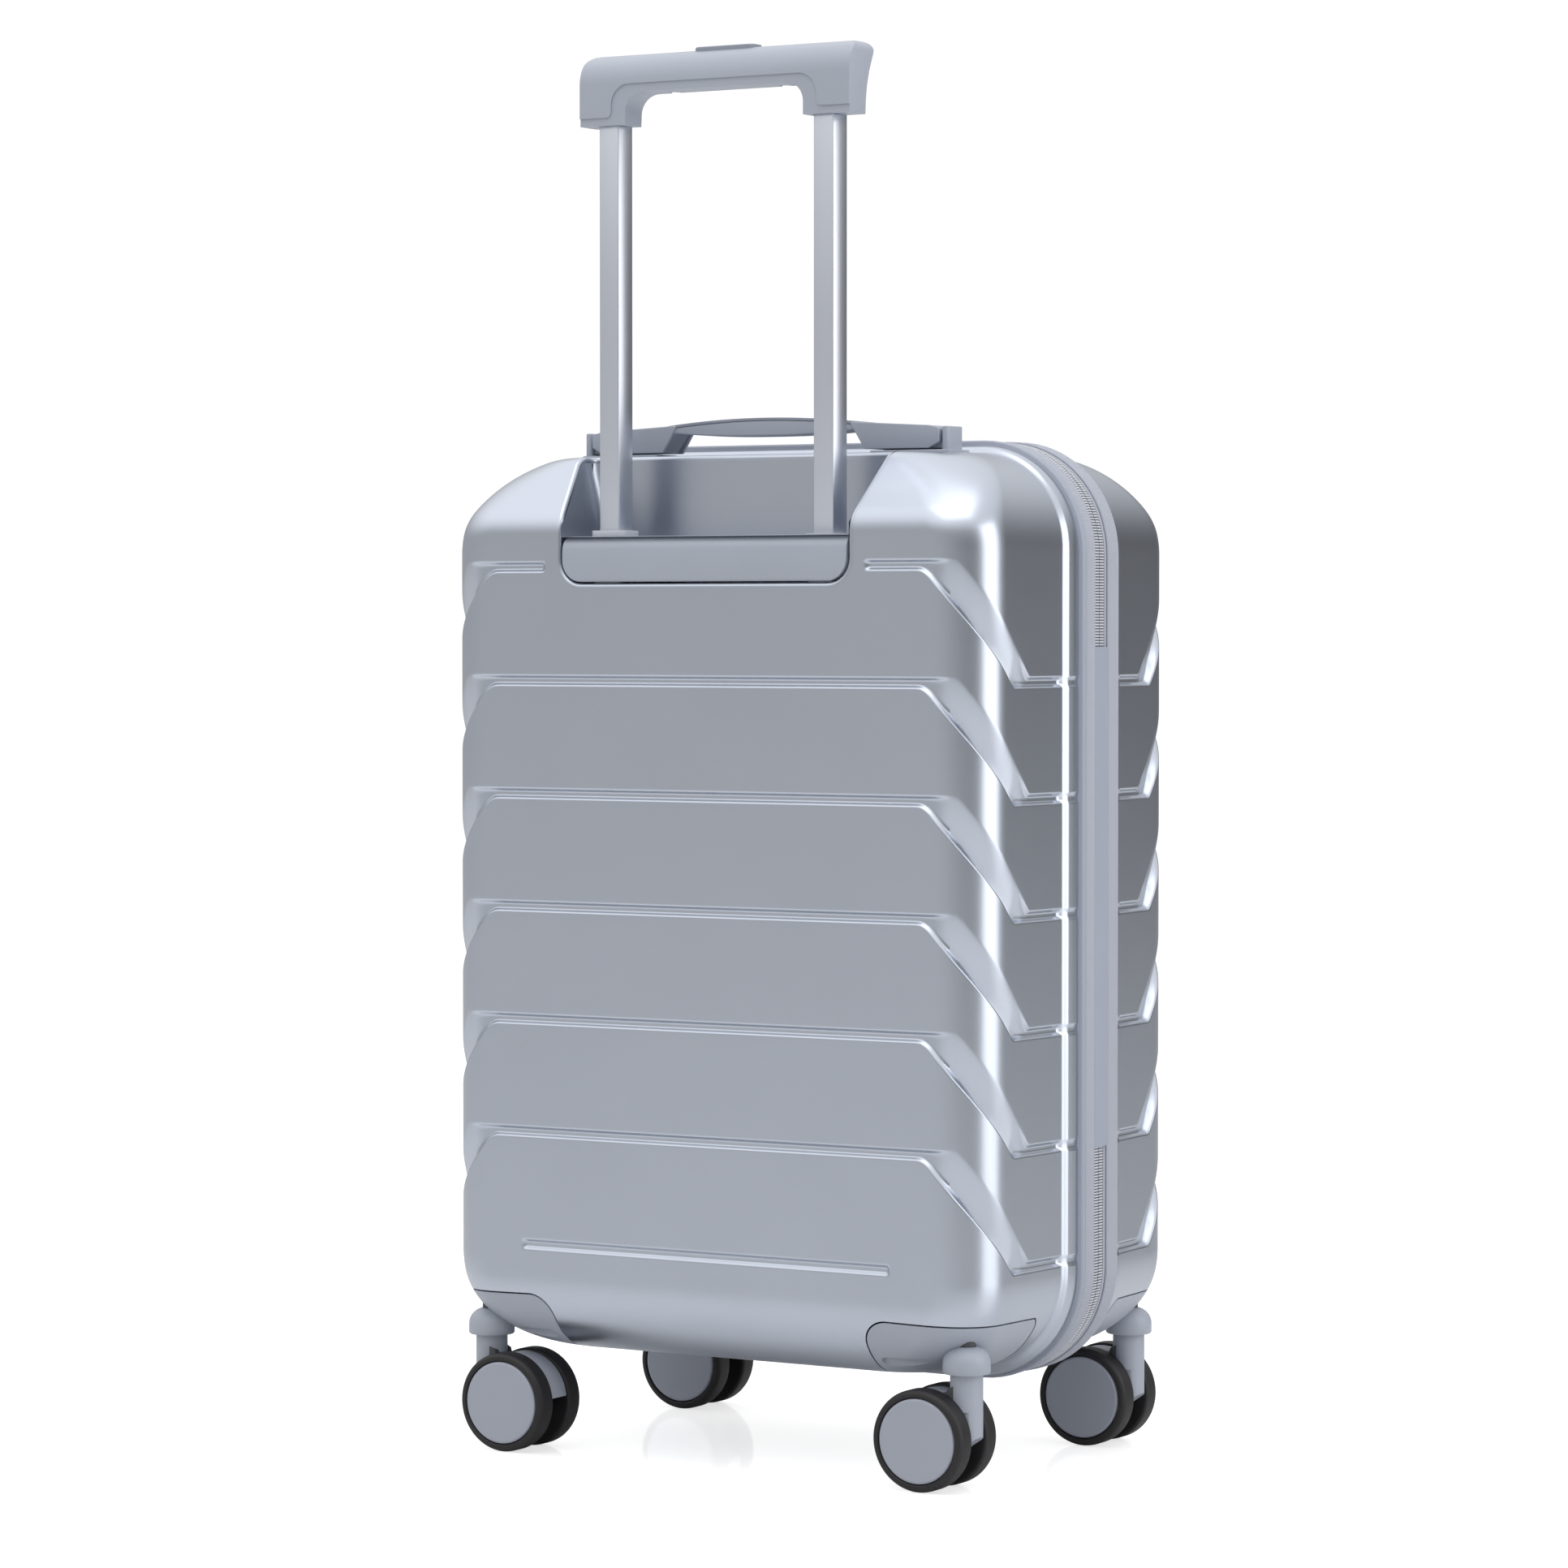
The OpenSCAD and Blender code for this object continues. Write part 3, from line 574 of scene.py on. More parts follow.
def shell_solid(name, open_y, front, coarse=False, first_from=None, inset=0.0, beyond=0.0):
    """Closed block under the surface; beyond pushes its flat side out past the opening."""
    grid = shell_surface(open_y, coarse, first_from, inset)
    if beyond:
        first, last = grid[:, :1].copy(), grid[:, -1:].copy()
        first[:, :, 1] = last[:, :, 1] = open_y + beyond
        grid = np.concatenate([first, grid, last], 1)
        grid[:, 1, 1] = grid[:, -2, 1] = open_y
    else:
        grid[:, 0, 1] = grid[:, -1, 1] = open_y
    rows, cols = grid.shape[:2]
    points = grid.reshape(-1, 3)
    ends = np.array([[0, open_y + beyond, grid[0, 0, 2]], [0, open_y + beyond, grid[-1, 0, 2]]])
    points = np.concatenate([points, ends])
    faces = grid_faces(rows, cols)
    low_tip, high_tip = rows * cols, rows * cols + 1
    faces += [(low_tip, c + 1, c) for c in range(cols - 1)]
    top = (rows - 1) * cols
    faces += [(high_tip, top + c, top + c + 1) for c in range(cols - 1)]
    faces.append(tuple([low_tip] + [r * cols for r in range(rows)] + [high_tip]
                       + [r * cols + cols - 1 for r in range(rows - 1, -1, -1)]))
    if front:
        points = points * np.array([1, -1, 1])
    return mesh_object(name, points, faces, 50)


# ---------------------------------------------------------------- pocket of the pull handle
POCKET_X, POCKET_BACK, BEZEL_Z, BEZEL_TOP, FLARE = 88.1, -64.0, 465.0, 489.0, 6.0


def bevel_height(y):
    """Height of the shell's top at a depth position."""
    return np.interp(y, [FACE_Y, BEVEL_END], [BEVEL_LOW, TOP_Z])


def flare(z):
    """Slight opening of the pocket's sides towards the top."""
    return FLARE * smooth((z - 494) / 38)


def pocket_edge():
    """Edge where the pocket meets the shell: position, outward face and the direction away from the pocket."""
    r = 12.6
    edge = [((x, FACE_Y, BEZEL_Z - 0.7), (0, -1, 0), (0, 0, -1)) for x in (0, 20, 40, 60)]
    for t in np.linspace(0, math.pi / 2, 9):
        away = (math.sin(t), 0, -math.cos(t))
        edge.append(((POCKET_X - r + r * away[0], FACE_Y, BEZEL_Z - 0.7 + r + r * away[2]), (0, -1, 0),
                     away))
    path = bevel_path()[0]
    path = path[path[:, 0] < POCKET_BACK - 9.5]
    slopes = np.gradient(path, axis=0)
    for (y, z), (dy, dz) in zip(path, slopes):
        size = math.hypot(dy, dz)
        edge.append(((POCKET_X + float(flare(z)), y, z), (0, -dz / size, dy / size), (1, 0, 0)))
    edge = [e for e in edge if e[0][2] < 479 or e[0][2] > 482]
    for t in np.linspace(0, math.pi / 2, 8):
        away = (math.cos(t), math.sin(t), 0)
        edge.append(((POCKET_X + FLARE - 8 + 8 * away[0], POCKET_BACK - 8 + 8 * away[1], TOP_Z), (0, 0, 1),
                     away))
    edge += [((x, POCKET_BACK, TOP_Z), (0, 0, 1), (0, 1, 0)) for x in (60, 40, 20, 0)]
    return edge


def pocket_lip(radius=2.2):
    """Rounded edge all round the pocket."""
    right = pocket_edge()
    left = [((-p[0], p[1], p[2]), n, (-a[0], a[1], a[2])) for p, n, a in right[::-1][1:-1]]
    loop = right + left
    points = []
    for p, n, a in loop:
        p, n, a = np.array(p), np.array(n), np.array(a)
        centre = p + a * radius - n * radius
        points.append(p + a * (radius + 0.5) + n * 0.06)
        points += [centre + radius * (n * math.cos(t) - a * math.sin(t)) + n * 0.06
                   for t in np.linspace(0, math.pi / 2, 7)]
        points.append(p - n * (radius + 2.5) + a * 0.5)
    return mesh_object("pocket_lip", points, grid_faces(len(loop), 9) + [
        ((len(loop) - 1) * 9 + k, (len(loop) - 1) * 9 + k + 1, k + 1, k) for k in range(8)], 60)


def pocket_cutter():
    r = 14.8
    low = BEZEL_Z - 0.7 - 2.2
    side = [(POCKET_X + 2.2 + float(flare(z)), z) for z in np.linspace(484, 560, 24)]
    corner = [(POCKET_X + 2.2 - r + r * math.sin(t), low + r - r * math.cos(t))
              for t in np.linspace(0, math.pi / 2, 9)]
    right = corner + side
    front_view = prism("pocket_front_view", right + [(-x, z) for x, z in right[::-1]], "y", -130,
                       POCKET_BACK + 2.2)
    wide = POCKET_X + FLARE + 2.2
    plan = rounded([(-wide, -140), (wide, -140), (wide, POCKET_BACK + 2.2), (-wide, POCKET_BACK + 2.2)],
                   [0, 0, 10.2, 10.2], 8)
    return carve(front_view, prism("pocket_plan", plan, "z", 440, 570), "INTERSECT")


def pocket_cup():
    """Walls and floor inside the pocket."""
    outline = [(POCKET_X, y) for y in np.linspace(FACE_Y + 1, POCKET_BACK - 12, 14)]
    outline += [(POCKET_X - 10 + 10 * math.cos(t), POCKET_BACK - 10 + 10 * math.sin(t))
                for t in np.linspace(0, math.pi / 2, 8)]
    outline += [(x, POCKET_BACK) for x in (60, 40, 20, 0)]
    outline += [(-x, y) for x, y in outline[::-1][1:]]
    points = []
    levels = np.linspace(0, 1, 16)
    for t in levels:
        for x, y in outline:
            top = float(bevel_height(y)) - 3.2
            z = 461 + (top - 461) * t
            points.append((x + math.copysign(float(flare(z)), x) * min(abs(x) / POCKET_X, 1) ** 4, y, z))
    n = len(outline)
    made = mesh_object("pocket_wall", points, grid_faces(len(levels), n), 60)
    floor = mesh_object("pocket_floor", [(x, y, BEZEL_TOP - 0.4) for x, y in outline], [tuple(range(n))])
    return joined("pocket_inside", [made, floor], 60)


# ---------------------------------------------------------------- caster corners
HOUSE_X, HOUSE_SIDE_Y, HOUSE_TOP = 96.5, -37.0, 86.0


def corner_space(name, grow, mirror_x):
    """Space of one caster housing, seen from the rear and from the side."""
    g, far = grow, 180
    rear_view = rounded([(HOUSE_X - g, 40), (HOUSE_X - g, HOUSE_TOP + g), (140, HOUSE_TOP + g - 0.8),
                         (far, HOUSE_TOP + g - 2.5),
                         (far, 40)], [0, 13 + g, 60, 0, 0], 10)
    side_view = rounded([(-130, 40), (-130, HOUSE_TOP + 6 + g), (HOUSE_SIDE_Y + g - 6, HOUSE_TOP - 1 + g),
                         (HOUSE_SIDE_Y + g, 40)],
                        [0, 0, 9 + g, 0], 8)
    space = carve(prism(name, rear_view, "y", -130, 0),
                  prism(name + "_side_view", side_view, "x", 60, 200), "INTERSECT")
    return flipped(space, "x") if mirror_x else space


def housing(block, mirror_x):
    """Moulded corner with the boss of its swivel, cut from the outer form of the shell."""
    sign = -1 if mirror_x else 1
    skin = carve(duplicate(block, "housing_skin"), corner_space("housing_space", 0.0, mirror_x),
                 "INTERSECT")
    skin = eased(skin, 0.5, 2, 50)
    sx = sign * SWIVEL_X
    for low, high in (((sx - sign * 47, -112, 50), (sx - sign * 17, -92, 66.5)),
                      ((sx + sign * 14, -104, 50), (sx + sign * 22, -66, 65))):
        skin = carve(skin, eased(box("recess", low, high), 4, 3))
    profile = [(0, 74.5)]
    profile += [(3.2 + 9.15 * math.sin(t), 66.0 + 8.5 * math.cos(t))
                for t in np.linspace(0.1, math.pi / 2, 8)]
    profile += [(12.35, 61.2), (11.8, 60.5), (9.1, 60.5), (9.1, 66), (0, 66)]
    return joined("housing", [skin, moved(turned("boss", profile), sx, -SWIVEL_Y, 0)])


# ---------------------------------------------------------------- rims and zip
def rim_loop(inset, corner_steps=16):
    """Points and outward directions round the rims' outline, moved inwards by the inset."""
    r = RIM_R - inset
    cx, low, high = RIM_W / 2 - RIM_R, RIM_BASE + RIM_R, RIM_TOP - RIM_R
    loop = []
    for centre, turn in (((cx, high), 0), ((-cx, high), 90), ((-cx, low), 180), ((cx, low), 270)):
        for a in np.linspace(turn, turn + 90, corner_steps + 1):
            d = (math.cos(math.radians(a)), math.sin(math.radians(a)))
            loop.append(((centre[0] + r * d[0], centre[1] + r * d[1]), d))
    return loop


def ring_piece(name, profile):
    """Closed (depth position, inset) outline run all round the case."""
    points = []
    for inset_y, inset in profile:
        loop = rim_loop(inset)
        steps = len(loop)
        points += [(p[0], inset_y, p[1]) for p, _ in loop]
    faces = grid_faces(len(profile), steps, True)
    base = (len(profile) - 1) * steps
    faces += [(base + c, base + (c + 1) % steps, (c + 1) % steps, c) for c in range(steps)]
    return mesh_object(name, points, faces)


def coil_chain(name, y0, y1, pitch=1.5):
    """One row of coil teeth round the case, left out under the hinge strip."""
    inset, height = 1.3, 0.75
    r = RIM_R - inset
    cx, low, high = RIM_W / 2 - RIM_R, RIM_BASE + RIM_R, RIM_TOP - RIM_R
    arc = r * math.pi / 2
    legs = [high - low, arc, 2 * cx, arc, high - low, arc, 2 * cx, arc]
    total = sum(legs)

    def at(d):
        d = d % total
        corners = [(cx, high, 0), (-cx, high, 90), (-cx, low, 180), (cx, low, 270)]
        for i in range(4):
            c = corners[i]
            if d < legs[2 * i]:
                before = corners[i - 1]
                e = math.radians(c[2])
                out = (math.cos(e), math.sin(e))
                t = d / legs[2 * i]
                start = (before[0] + r * out[0], before[1] + r * out[1])
                stop = (c[0] + r * out[0], c[1] + r * out[1])
                return (start[0] + (stop[0] - start[0]) * t, start[1] + (stop[1] - start[1]) * t), out
            d -= legs[2 * i]
            if d < arc:
                e = math.radians(c[2] + 90 * d / arc)
                out = (math.cos(e), math.sin(e))
                return (c[0] + r * out[0], c[1] + r * out[1]), out
            d -= arc

    points, faces = [], []
    count = int(total / pitch)
    for i in range(count):
        (x, z), out = at(i * total / count)
        if x > 170 and STRIP_LOW + 1.5 < z < STRIP_TOP - 1.5:
            continue
        tangent = (-out[1], out[0])
        start = len(points)
        for y, lift in ((y0, 0.35), ((y0 + y1) / 2, 1.0), (y1, 0.35)):
            for shift, up in ((-0.34, 0.0), (-0.2, 0.85), (0.2, 0.85), (0.34, 0.0)):
                h = height * up * lift
                points.append((x + tangent[0] * shift * pitch + out[0] * h, y,
                               z + tangent[1] * shift * pitch + out[1] * h))
        for k in range(2):
            for c in range(3):
                faces.append((start + k * 4 + c, start + k * 4 + c + 1, start + (k + 1) * 4 + c + 1,
                              start + (k + 1) * 4 + c))
    return mesh_object(name, points, faces, 60)


# ---------------------------------------------------------------- shells, rims and zip
rear_block = shell_solid("rear_block", REAR_OPEN, False, first_from=98.0)
front_block = shell_solid("front_block", FRONT_OPEN, True)
plain_block = duplicate(rear_block, "corner_block")

housings = {}
for side, flip in (("right", False), ("left", True)):
    rear = housing(plain_block, flip)
    rear.name = "housing_cover_rear_" + side
    housings["rear_" + side] = rear
    housings["front_" + side] = flipped(duplicate(rear, "housing_cover_front_" + side), "y")
bpy.data.objects.remove(plain_block)

rear_inside = shell_solid("rear_inside", REAR_OPEN, False, True, 98.0, WALL, 6.0)
front_inside = shell_solid("front_inside", FRONT_OPEN, True, True, None, WALL, 6.0)
for shell, inside, front in ((rear_block, rear_inside, False), (front_block, front_inside, True)):
    carve(shell, inside)
    for flip in (False, True):
        space = corner_space("housing_gap", 0.9, flip)
        carve(shell, flipped(space, "y") if front else space)
carve(rear_block, pocket_cutter())
rear_shell = joined("rear_shell_ribbed", [rear_block, pocket_lip(), pocket_cup()], 50)
front_block.name = "front_shell_ribbed"
finished(rear_shell, silver_film, "case", ["rear_shell"])
finished(front_block, silver_film, "lid", ["front_shell"])


def lining(name, open_y, front, first_from):
    """Thin cloth lining inside a shell; the rear one hangs flat over the tubes and the pocket."""
    outer = shell_solid(name, open_y, front, True, first_from, WALL + 0.8)
    inner = shell_solid("lining_inside", open_y, front, True, first_from, WALL + 1.8, 4.0)
    if not front:
        for form, grow in ((outer, 0.0), (inner, 1.0)):
            carve(form, box("lining_room", (-200, LINING_Y + grow, 0), (200, 60, 600)), "INTERSECT")
            carve(form, box("pocket_room", (-93 - grow, -130, 460 - grow), (93 + grow, -60.5 + grow, 600)))
    cloth = carve(outer, inner)
    cloth.data.shade_flat()
    return cloth


finished(lining("rear_lining_cloth", REAR_OPEN, False, 98.0), lining_weave, "case", ["rear_lining"])
finished(lining("front_lining_cloth", FRONT_OPEN, True, None), lining_weave, "lid", ["front_lining"])
for place, cover in housings.items():
    finished(cover, grey_abs, "case" if "rear" in place else "lid", ["housing_" + place])


def round_profile(centre_y, centre_inset, radius, start, stop, steps=10):
    return [(centre_y + radius * math.cos(t), centre_inset - radius * math.sin(t))
            for t in np.linspace(math.radians(start), math.radians(stop), steps)]


rear_rim = ring_piece("rear_rim_piping", [(-15.7, 6.5), (-15.7, 3.2), (-15.3, 2.6)]
                      + round_profile(-13.4, 1.75, 1.75, 165, 15)
                      + [(-11.4, 2.6), (-11.2, 3.0), (2.6, 3.0), (2.6, 6.5)])
finished(rear_rim, grey_piping, "case", ["rear_rim"])
rear_tape = ring_piece("rear_zip_tape_band",
                       [(-11.3, 3.2), (-11.3, 1.1), (-10.9, 0.7), (-10.2, 0.45), (-1.6, 0.4),
                       (-0.9, 0.7), (-0.8, 1.8), (-0.8, 3.2)])
finished(rear_tape, zip_weave, "case", ["rear_zip_tape"])
rear_bed = ring_piece("rear_coil_bed", [(-0.9, 3.2), (-0.9, 1.5), (4.35, 1.5), (4.35, 3.2)])
finished(rear_bed, shaded_weave, "case", ())
front_rim = ring_piece("front_rim_band", [(4.5, 3.0), (24.8, 3.0), (24.8, 6.5), (4.5, 6.5)])
finished(front_rim, grey_piping, "lid", ["front_rim"])
front_bed = ring_piece("front_coil_bed", [(4.5, 3.2), (4.5, 1.5), (12.6, 1.6), (12.6, 3.2)])
finished(front_bed, shaded_weave, "lid", ())
front_tape = ring_piece("front_zip_tape_band", [(9.45, 1.7), (9.5, 1.0), (11.4, 0.9), (11.55, 1.7)])
front_band = ring_piece("front_band",
                        [(12.4, 3.0), (12.4, 0.5), (12.9, 0.1), (13.8, 0.0), (23.4, 0.0), (24.4, 0.3),
                         (24.9, 1.0), (24.9, 3.0)])
front_tape = joined("front_zip_tape_band", [front_tape, front_band])
finished(front_tape, zip_weave, "lid", ["front_zip_tape"])
finished(coil_chain("rear_coil", -0.5, 4.2), pale_nylon, "case", ())
finished(coil_chain("front_coil", 4.7, 9.2), pale_nylon, "lid", ())

strip_out = RIM_W / 2 + 0.25
strip = prism("hinge_strip_cover",
              rounded([(170.9, -1.4), (strip_out - 0.5, -1.4), (strip_out - 0.1, 12.0), (170.9, 12.0)],
                [0, 0.5, 0.5, 0], 3), "z", STRIP_LOW, STRIP_TOP)
cuts = bmesh.new()
cuts.from_mesh(strip.data)
for y in np.linspace(-0.6, 11.2, 12):
    bmesh.ops.bisect_plane(cuts, geom=cuts.verts[:] + cuts.edges[:] + cuts.faces[:],
                           plane_co=(0, y * MM, 0), plane_no=(0, 1, 0))
cuts.to_mesh(strip.data)
cuts.free()
strip.data.materials.append(grey_piping)
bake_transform(strip)
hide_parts("hinge_leaf_rear", "hinge_leaf_front")

# ---------------------------------------------------------------- casters
CASTERS = {"rear_left": (-1, -1), "rear_right": (1, -1), "front_left": (-1, 1), "front_right": (1, 1)}


def fork_cover():
    """Swivel stem, web and mudguard, for a caster whose axle trails towards -X."""
    half = WHEEL_GAP / 2 - 0.6
    stem = turned("stem", [(0, 60.2), (8.5, 60.2), (8.5, 12), (0, 12)], 48)
    trim = prism("stem_cut", [(-4.4, -20), (-4.4, 19.5), (9.5, 29), (30, 29), (30, -20)], "y", -30, 30)
    stem = carve(stem, trim)
    stem = carve(stem, box("stem_cut_low", (-30, -30, -5), (30, 30, 18.5)))
    sides = box("stem_slab", (-20, -half, 0), (20, half, 41.5))
    low_stem = carve(duplicate(stem, "low_stem"), sides, "INTERSECT")
    high_stem = carve(stem, box("stem_low_half", (-30, -30, -10), (30, 30, 41.4)))
    web = eased(prism("web",
                      rounded([(-2, 19.5), (-TRAIL, 17.5), (-TRAIL - 5, 24), (-TRAIL, 36), (-7, 50),
                               (2, 50)],
                        [0, 4, 4, 4, 2, 0], 5), "y", -half, half), 0.5, 2)
    ring = [(-TRAIL + 25.2 * math.cos(t), WHEEL_R + 25.2 * math.sin(t))
            for t in np.linspace(0.62, math.pi - 0.1, 30)]
    inner = [(-TRAIL + 22.6 * math.cos(t), WHEEL_R + 22.6 * math.sin(t))
             for t in np.linspace(math.pi - 0.1, 0.62, 30)]
    guard = eased(prism("mudguard", ring + inner, "y", -half, half), 0.5, 2)
    pin = turned("swivel_pin", [(0, 95), (5, 95), (5, 60), (0, 60)], 32)
    return joined("fork_cover", [low_stem, high_stem, guard]), [web, pin]


def stem_ribs(hidden):
    """Dark stiffening ribs beside the stem, above the wheels, with the web and pin behind them."""
    parts = list(hidden)
    for side in (-1, 1):
        low, high = sorted((side * 2.6, side * 7.9))
        parts.append(eased(prism("rib", [(-9.5, 44), (-7.2, 52.5), (-3.5, 54.5), (-3.5, 38), (-7, 36)],
                                 "y", low, high), 0.3, 2))
        parts.append(eased(prism("rib_foot", [(-16, 46.5), (-14.5, 51.2), (-9.5, 50), (-10.2, 44.5)], "y",
                                 low, high), 0.3, 2))
    return joined("stem_ribs", parts)


def tyre_cover():
    """Tyre and dark core of one wheel, its inner face at height 0."""
    r, w = WHEEL_R, WHEEL_W
    profile = [(2.6, w - 2.4), (2.6, 0.9), (16, 0.9), (19, 0.2),
               (24.2, 0)] + [(r - 1.6 + 1.6 * math.sin(t), 1.6 - 1.6 * math.cos(t))
                             for t in np.linspace(0.2, math.pi / 2, 5)]
    profile += [(r - 3.0 + 3.0 * math.cos(t), w - 3.2 + 3.2 * math.sin(t)) for t in np.linspace(0, 1.35, 7)]
    profile += [(23.0, w + 0.02), (22.5, w - 0.35), (22.3, w - 0.9), (21.9, w - 2.4)]
    return turned("tyre_cover", profile, 96)


def hub_cover():
    """Disc on the face of one wheel, with a thin chamfer round it."""
    w = WHEEL_W
    profile = [(0, w - 2.2), (21.9, w - 2.2), (21.9, w - 0.7), (21.6, w - 0.2), (20.9, w + 0.1),
               (20.3, w + 0.05),
               (19.8, w - 0.05), (0, w)]
    return turned("hub_cover", profile, 96)


def set_wheel(made, name, x, y, outward):
    """Turns a wheel piece from lying flat to standing on its axle, its face outward along Y."""
    turn = Matrix.Rotation(math.radians(-90 * outward), 4, "X")
    made.name = made.data.name = name
    made.data.transform(Matrix.Translation((x * MM, (y + outward * WHEEL_GAP / 2) * MM,
                                            WHEEL_R * MM)) @ turn)
    return made


fork_form, hidden = fork_cover()
rib_form, tyre_form, hub_form = stem_ribs(hidden), tyre_cover(), hub_cover()
for place, (sx, sy) in CASTERS.items():
    body = "caster_" + place
    for form, name, finish, stands, slot in ((fork_form, "fork_cover_", grey_abs, ["fork_" + place],
                                              "trim"),
                                             (rib_form, "stem_ribs_", dark_abs, [], "inner_plastic")):
        part = duplicate(form, name + place)
        if sx < 0:
            flipped(part, "x")
        finished(moved(part, sx * SWIVEL_X, sy * SWIVEL_Y, 0), finish, body, stands)
    for letter, outward in (("a", -1), ("b", 1)):
        wheel_body = f"wheel_{letter}_{place}"
        x, y = sx * (SWIVEL_X - TRAIL), sy * SWIVEL_Y
        tyre = set_wheel(duplicate(tyre_form, "t"), f"tyre_cover_{letter}_{place}", x, y, outward)
        finished(tyre, black_polyurethane, wheel_body, [f"tyre_{letter}_{place}"])
        disc = set_wheel(duplicate(hub_form, "h"), f"hub_cover_{letter}_{place}", x, y, outward)
        finished(disc, satin_disc, wheel_body, [f"hub_{letter}_{place}"])
for form in (fork_form, rib_form, tyre_form, hub_form):
    bpy.data.objects.remove(form)

# ---------------------------------------------------------------- pull handle
GRIP_Z, GRIP_TOP, GRIP_REAR = 705.0, 743.0, -99.5


def grip_cover():
    outline = rounded([(-82.5, GRIP_Z), (-82.5, GRIP_TOP), (82.5, GRIP_TOP), (82.5, GRIP_Z)], [0, 6, 6, 0],
                      6)
    outline += rounded([(54.5, GRIP_Z), (54.5, GRIP_Z + 17), (-54.5, GRIP_Z + 17), (-54.5, GRIP_Z)],
                       [0, 10, 10, 0], 8)
    side = [(GRIP_REAR, GRIP_Z), (GRIP_REAR + 16.8, GRIP_Z), (GRIP_REAR + 17.2, GRIP_Z + 7),
            (GRIP_REAR + 18.4, GRIP_Z + 15),
            (GRIP_REAR + 20.8, GRIP_Z + 23)]
    side += rounded([(GRIP_REAR + 24, GRIP_Z + 30), (GRIP_REAR + 27.6, GRIP_TOP), (GRIP_REAR, GRIP_TOP),
                     (GRIP_REAR, GRIP_Z)],
                    [0, 3.5, 16, 0], 10)[:-1]
    body = carve(prism("grip_front", outline, "y", GRIP_REAR - 20, GRIP_REAR + 50),
                 prism("grip_side", side, "x", -100, 100), "INTERSECT")
    body = eased(body, 1.8, 4, 38)
    step = rounded([(-90, GRIP_Z - 1), (-90, GRIP_Z + 4.2), (-63, GRIP_Z + 4.2), (-63, GRIP_Z + 21.5),
                    (63, GRIP_Z + 21.5),
                    (63, GRIP_Z + 4.2), (90, GRIP_Z + 4.2), (90, GRIP_Z - 1)], [0, 0, 3, 11, 11, 3, 0, 0],
                   8)
    body = carve(body, prism("grip_step", step, "y", GRIP_REAR - 5, GRIP_REAR + 0.8))
    for x in (-34, 34):
        hole = turned("screw_hole", [(0, 0), (3.2, 0), (3.2, 5), (0, 5)], 32)
        body = carve(body, moved(hole, x, TUBE_Y + 9, GRIP_Z + 15))
    for x in (-TUBE_X, TUBE_X):
        socket = prism("tube_socket", rectangle(x, TUBE_Y, 7.6, 6.1, 3, 5), "z", GRIP_Z - 5, GRIP_Z + 9)
        body = carve(body, socket)
    return body


grip = grip_cover()
grip.name = "pull_grip_cover"
finished(grip, grey_abs, "pull_handle", ["grip_lower", "grip_upper"])

button = prism("release_button_cap",
               rounded([(-18.5, GRIP_REAR + 10.5), (18.5, GRIP_REAR + 10.5), (18.5, GRIP_REAR + 22),
                        (-18.5, GRIP_REAR + 22)], 3.7, 6), "z", GRIP_Z + 24, GRIP_TOP + 1.5)
button = eased(button, 0.8, 3)
finished(button, dusk_abs, "release", ["release_button"])

bezel_side = rounded([(FACE_Y - 0.3, BEZEL_Z), (-76.3, BEZEL_Z), (-76.3, BEZEL_TOP),
                      (FACE_Y + 0.6, BEZEL_TOP)], [1.5, 0.5, 1.0, 7.5], 8)
bezel = prism("bezel",
              rounded([(-87, BEZEL_Z), (87, BEZEL_Z), (87, BEZEL_TOP), (-87, BEZEL_TOP)],
                      [12, 12, 1.5, 1.5], 8), "y", -120, -60)
bezel = carve(bezel, prism("bezel_side", bezel_side, "x", -100, 100), "INTERSECT")
bezel = eased(bezel, 0.9, 3, 38)
for x in (-TUBE_X, TUBE_X):
    well = prism("tube_well", rectangle(x, TUBE_Y, 8.9, 7.4, 3.3, 5), "z", BEZEL_Z - 5, BEZEL_TOP + 5)
    bezel = carve(bezel, well)
bezel.name = "pull_bezel_cover"
finished(bezel, grey_abs, "case", ["pull_bezel"])


def collar(x, top):
    ring = prism("collar", rectangle(x, TUBE_Y, 10.5, 9, 4, 6),
                 "z", BEZEL_TOP + 0.1, top)
    bore = prism("collar_bore", rectangle(x, TUBE_Y, 7.6, 6.1, 3, 6), "z", 480, 500)
    return eased(carve(ring, bore), 0.5, 2)


collars = joined("stage_collars", [collar(-TUBE_X, BEZEL_TOP + 3.2), collar(TUBE_X, BEZEL_TOP + 0.7)])
finished(collars, pale_nylon, "middle_stage", ["middle_collars"])


def tube_cover(x):
    """Drawn tube with a flat face and slightly rounded sides."""
    side = [(7.5 - 0.95 * (t - 0.35) ** 2, 6 * t) for t in np.linspace(-1, 1, 13)]
    right = [(x + w, TUBE_Y + d) for w, d in side]
    left = [(x - w, TUBE_Y + d) for w, d in side[::-1]]
    tube = prism("tube", right + left, "z", TUBE_FOOT, GRIP_Z + 9)
    bore = prism("tube_bore", rectangle(x, TUBE_Y, 5.6, 4.8, 1, 3), "z", TUBE_FOOT - 5, GRIP_Z + 20)
    return carve(eased(tube, 0.35, 2, 30), bore)


tubes = joined("upper_stage_tubes", [tube_cover(TUBE_X), tube_cover(-TUBE_X)], 50)
finished(tubes, anodised_tube, "pull_handle", ["inner_tubes"])

# ---------------------------------------------------------------- carry handle
CARRY_Y = -39.0


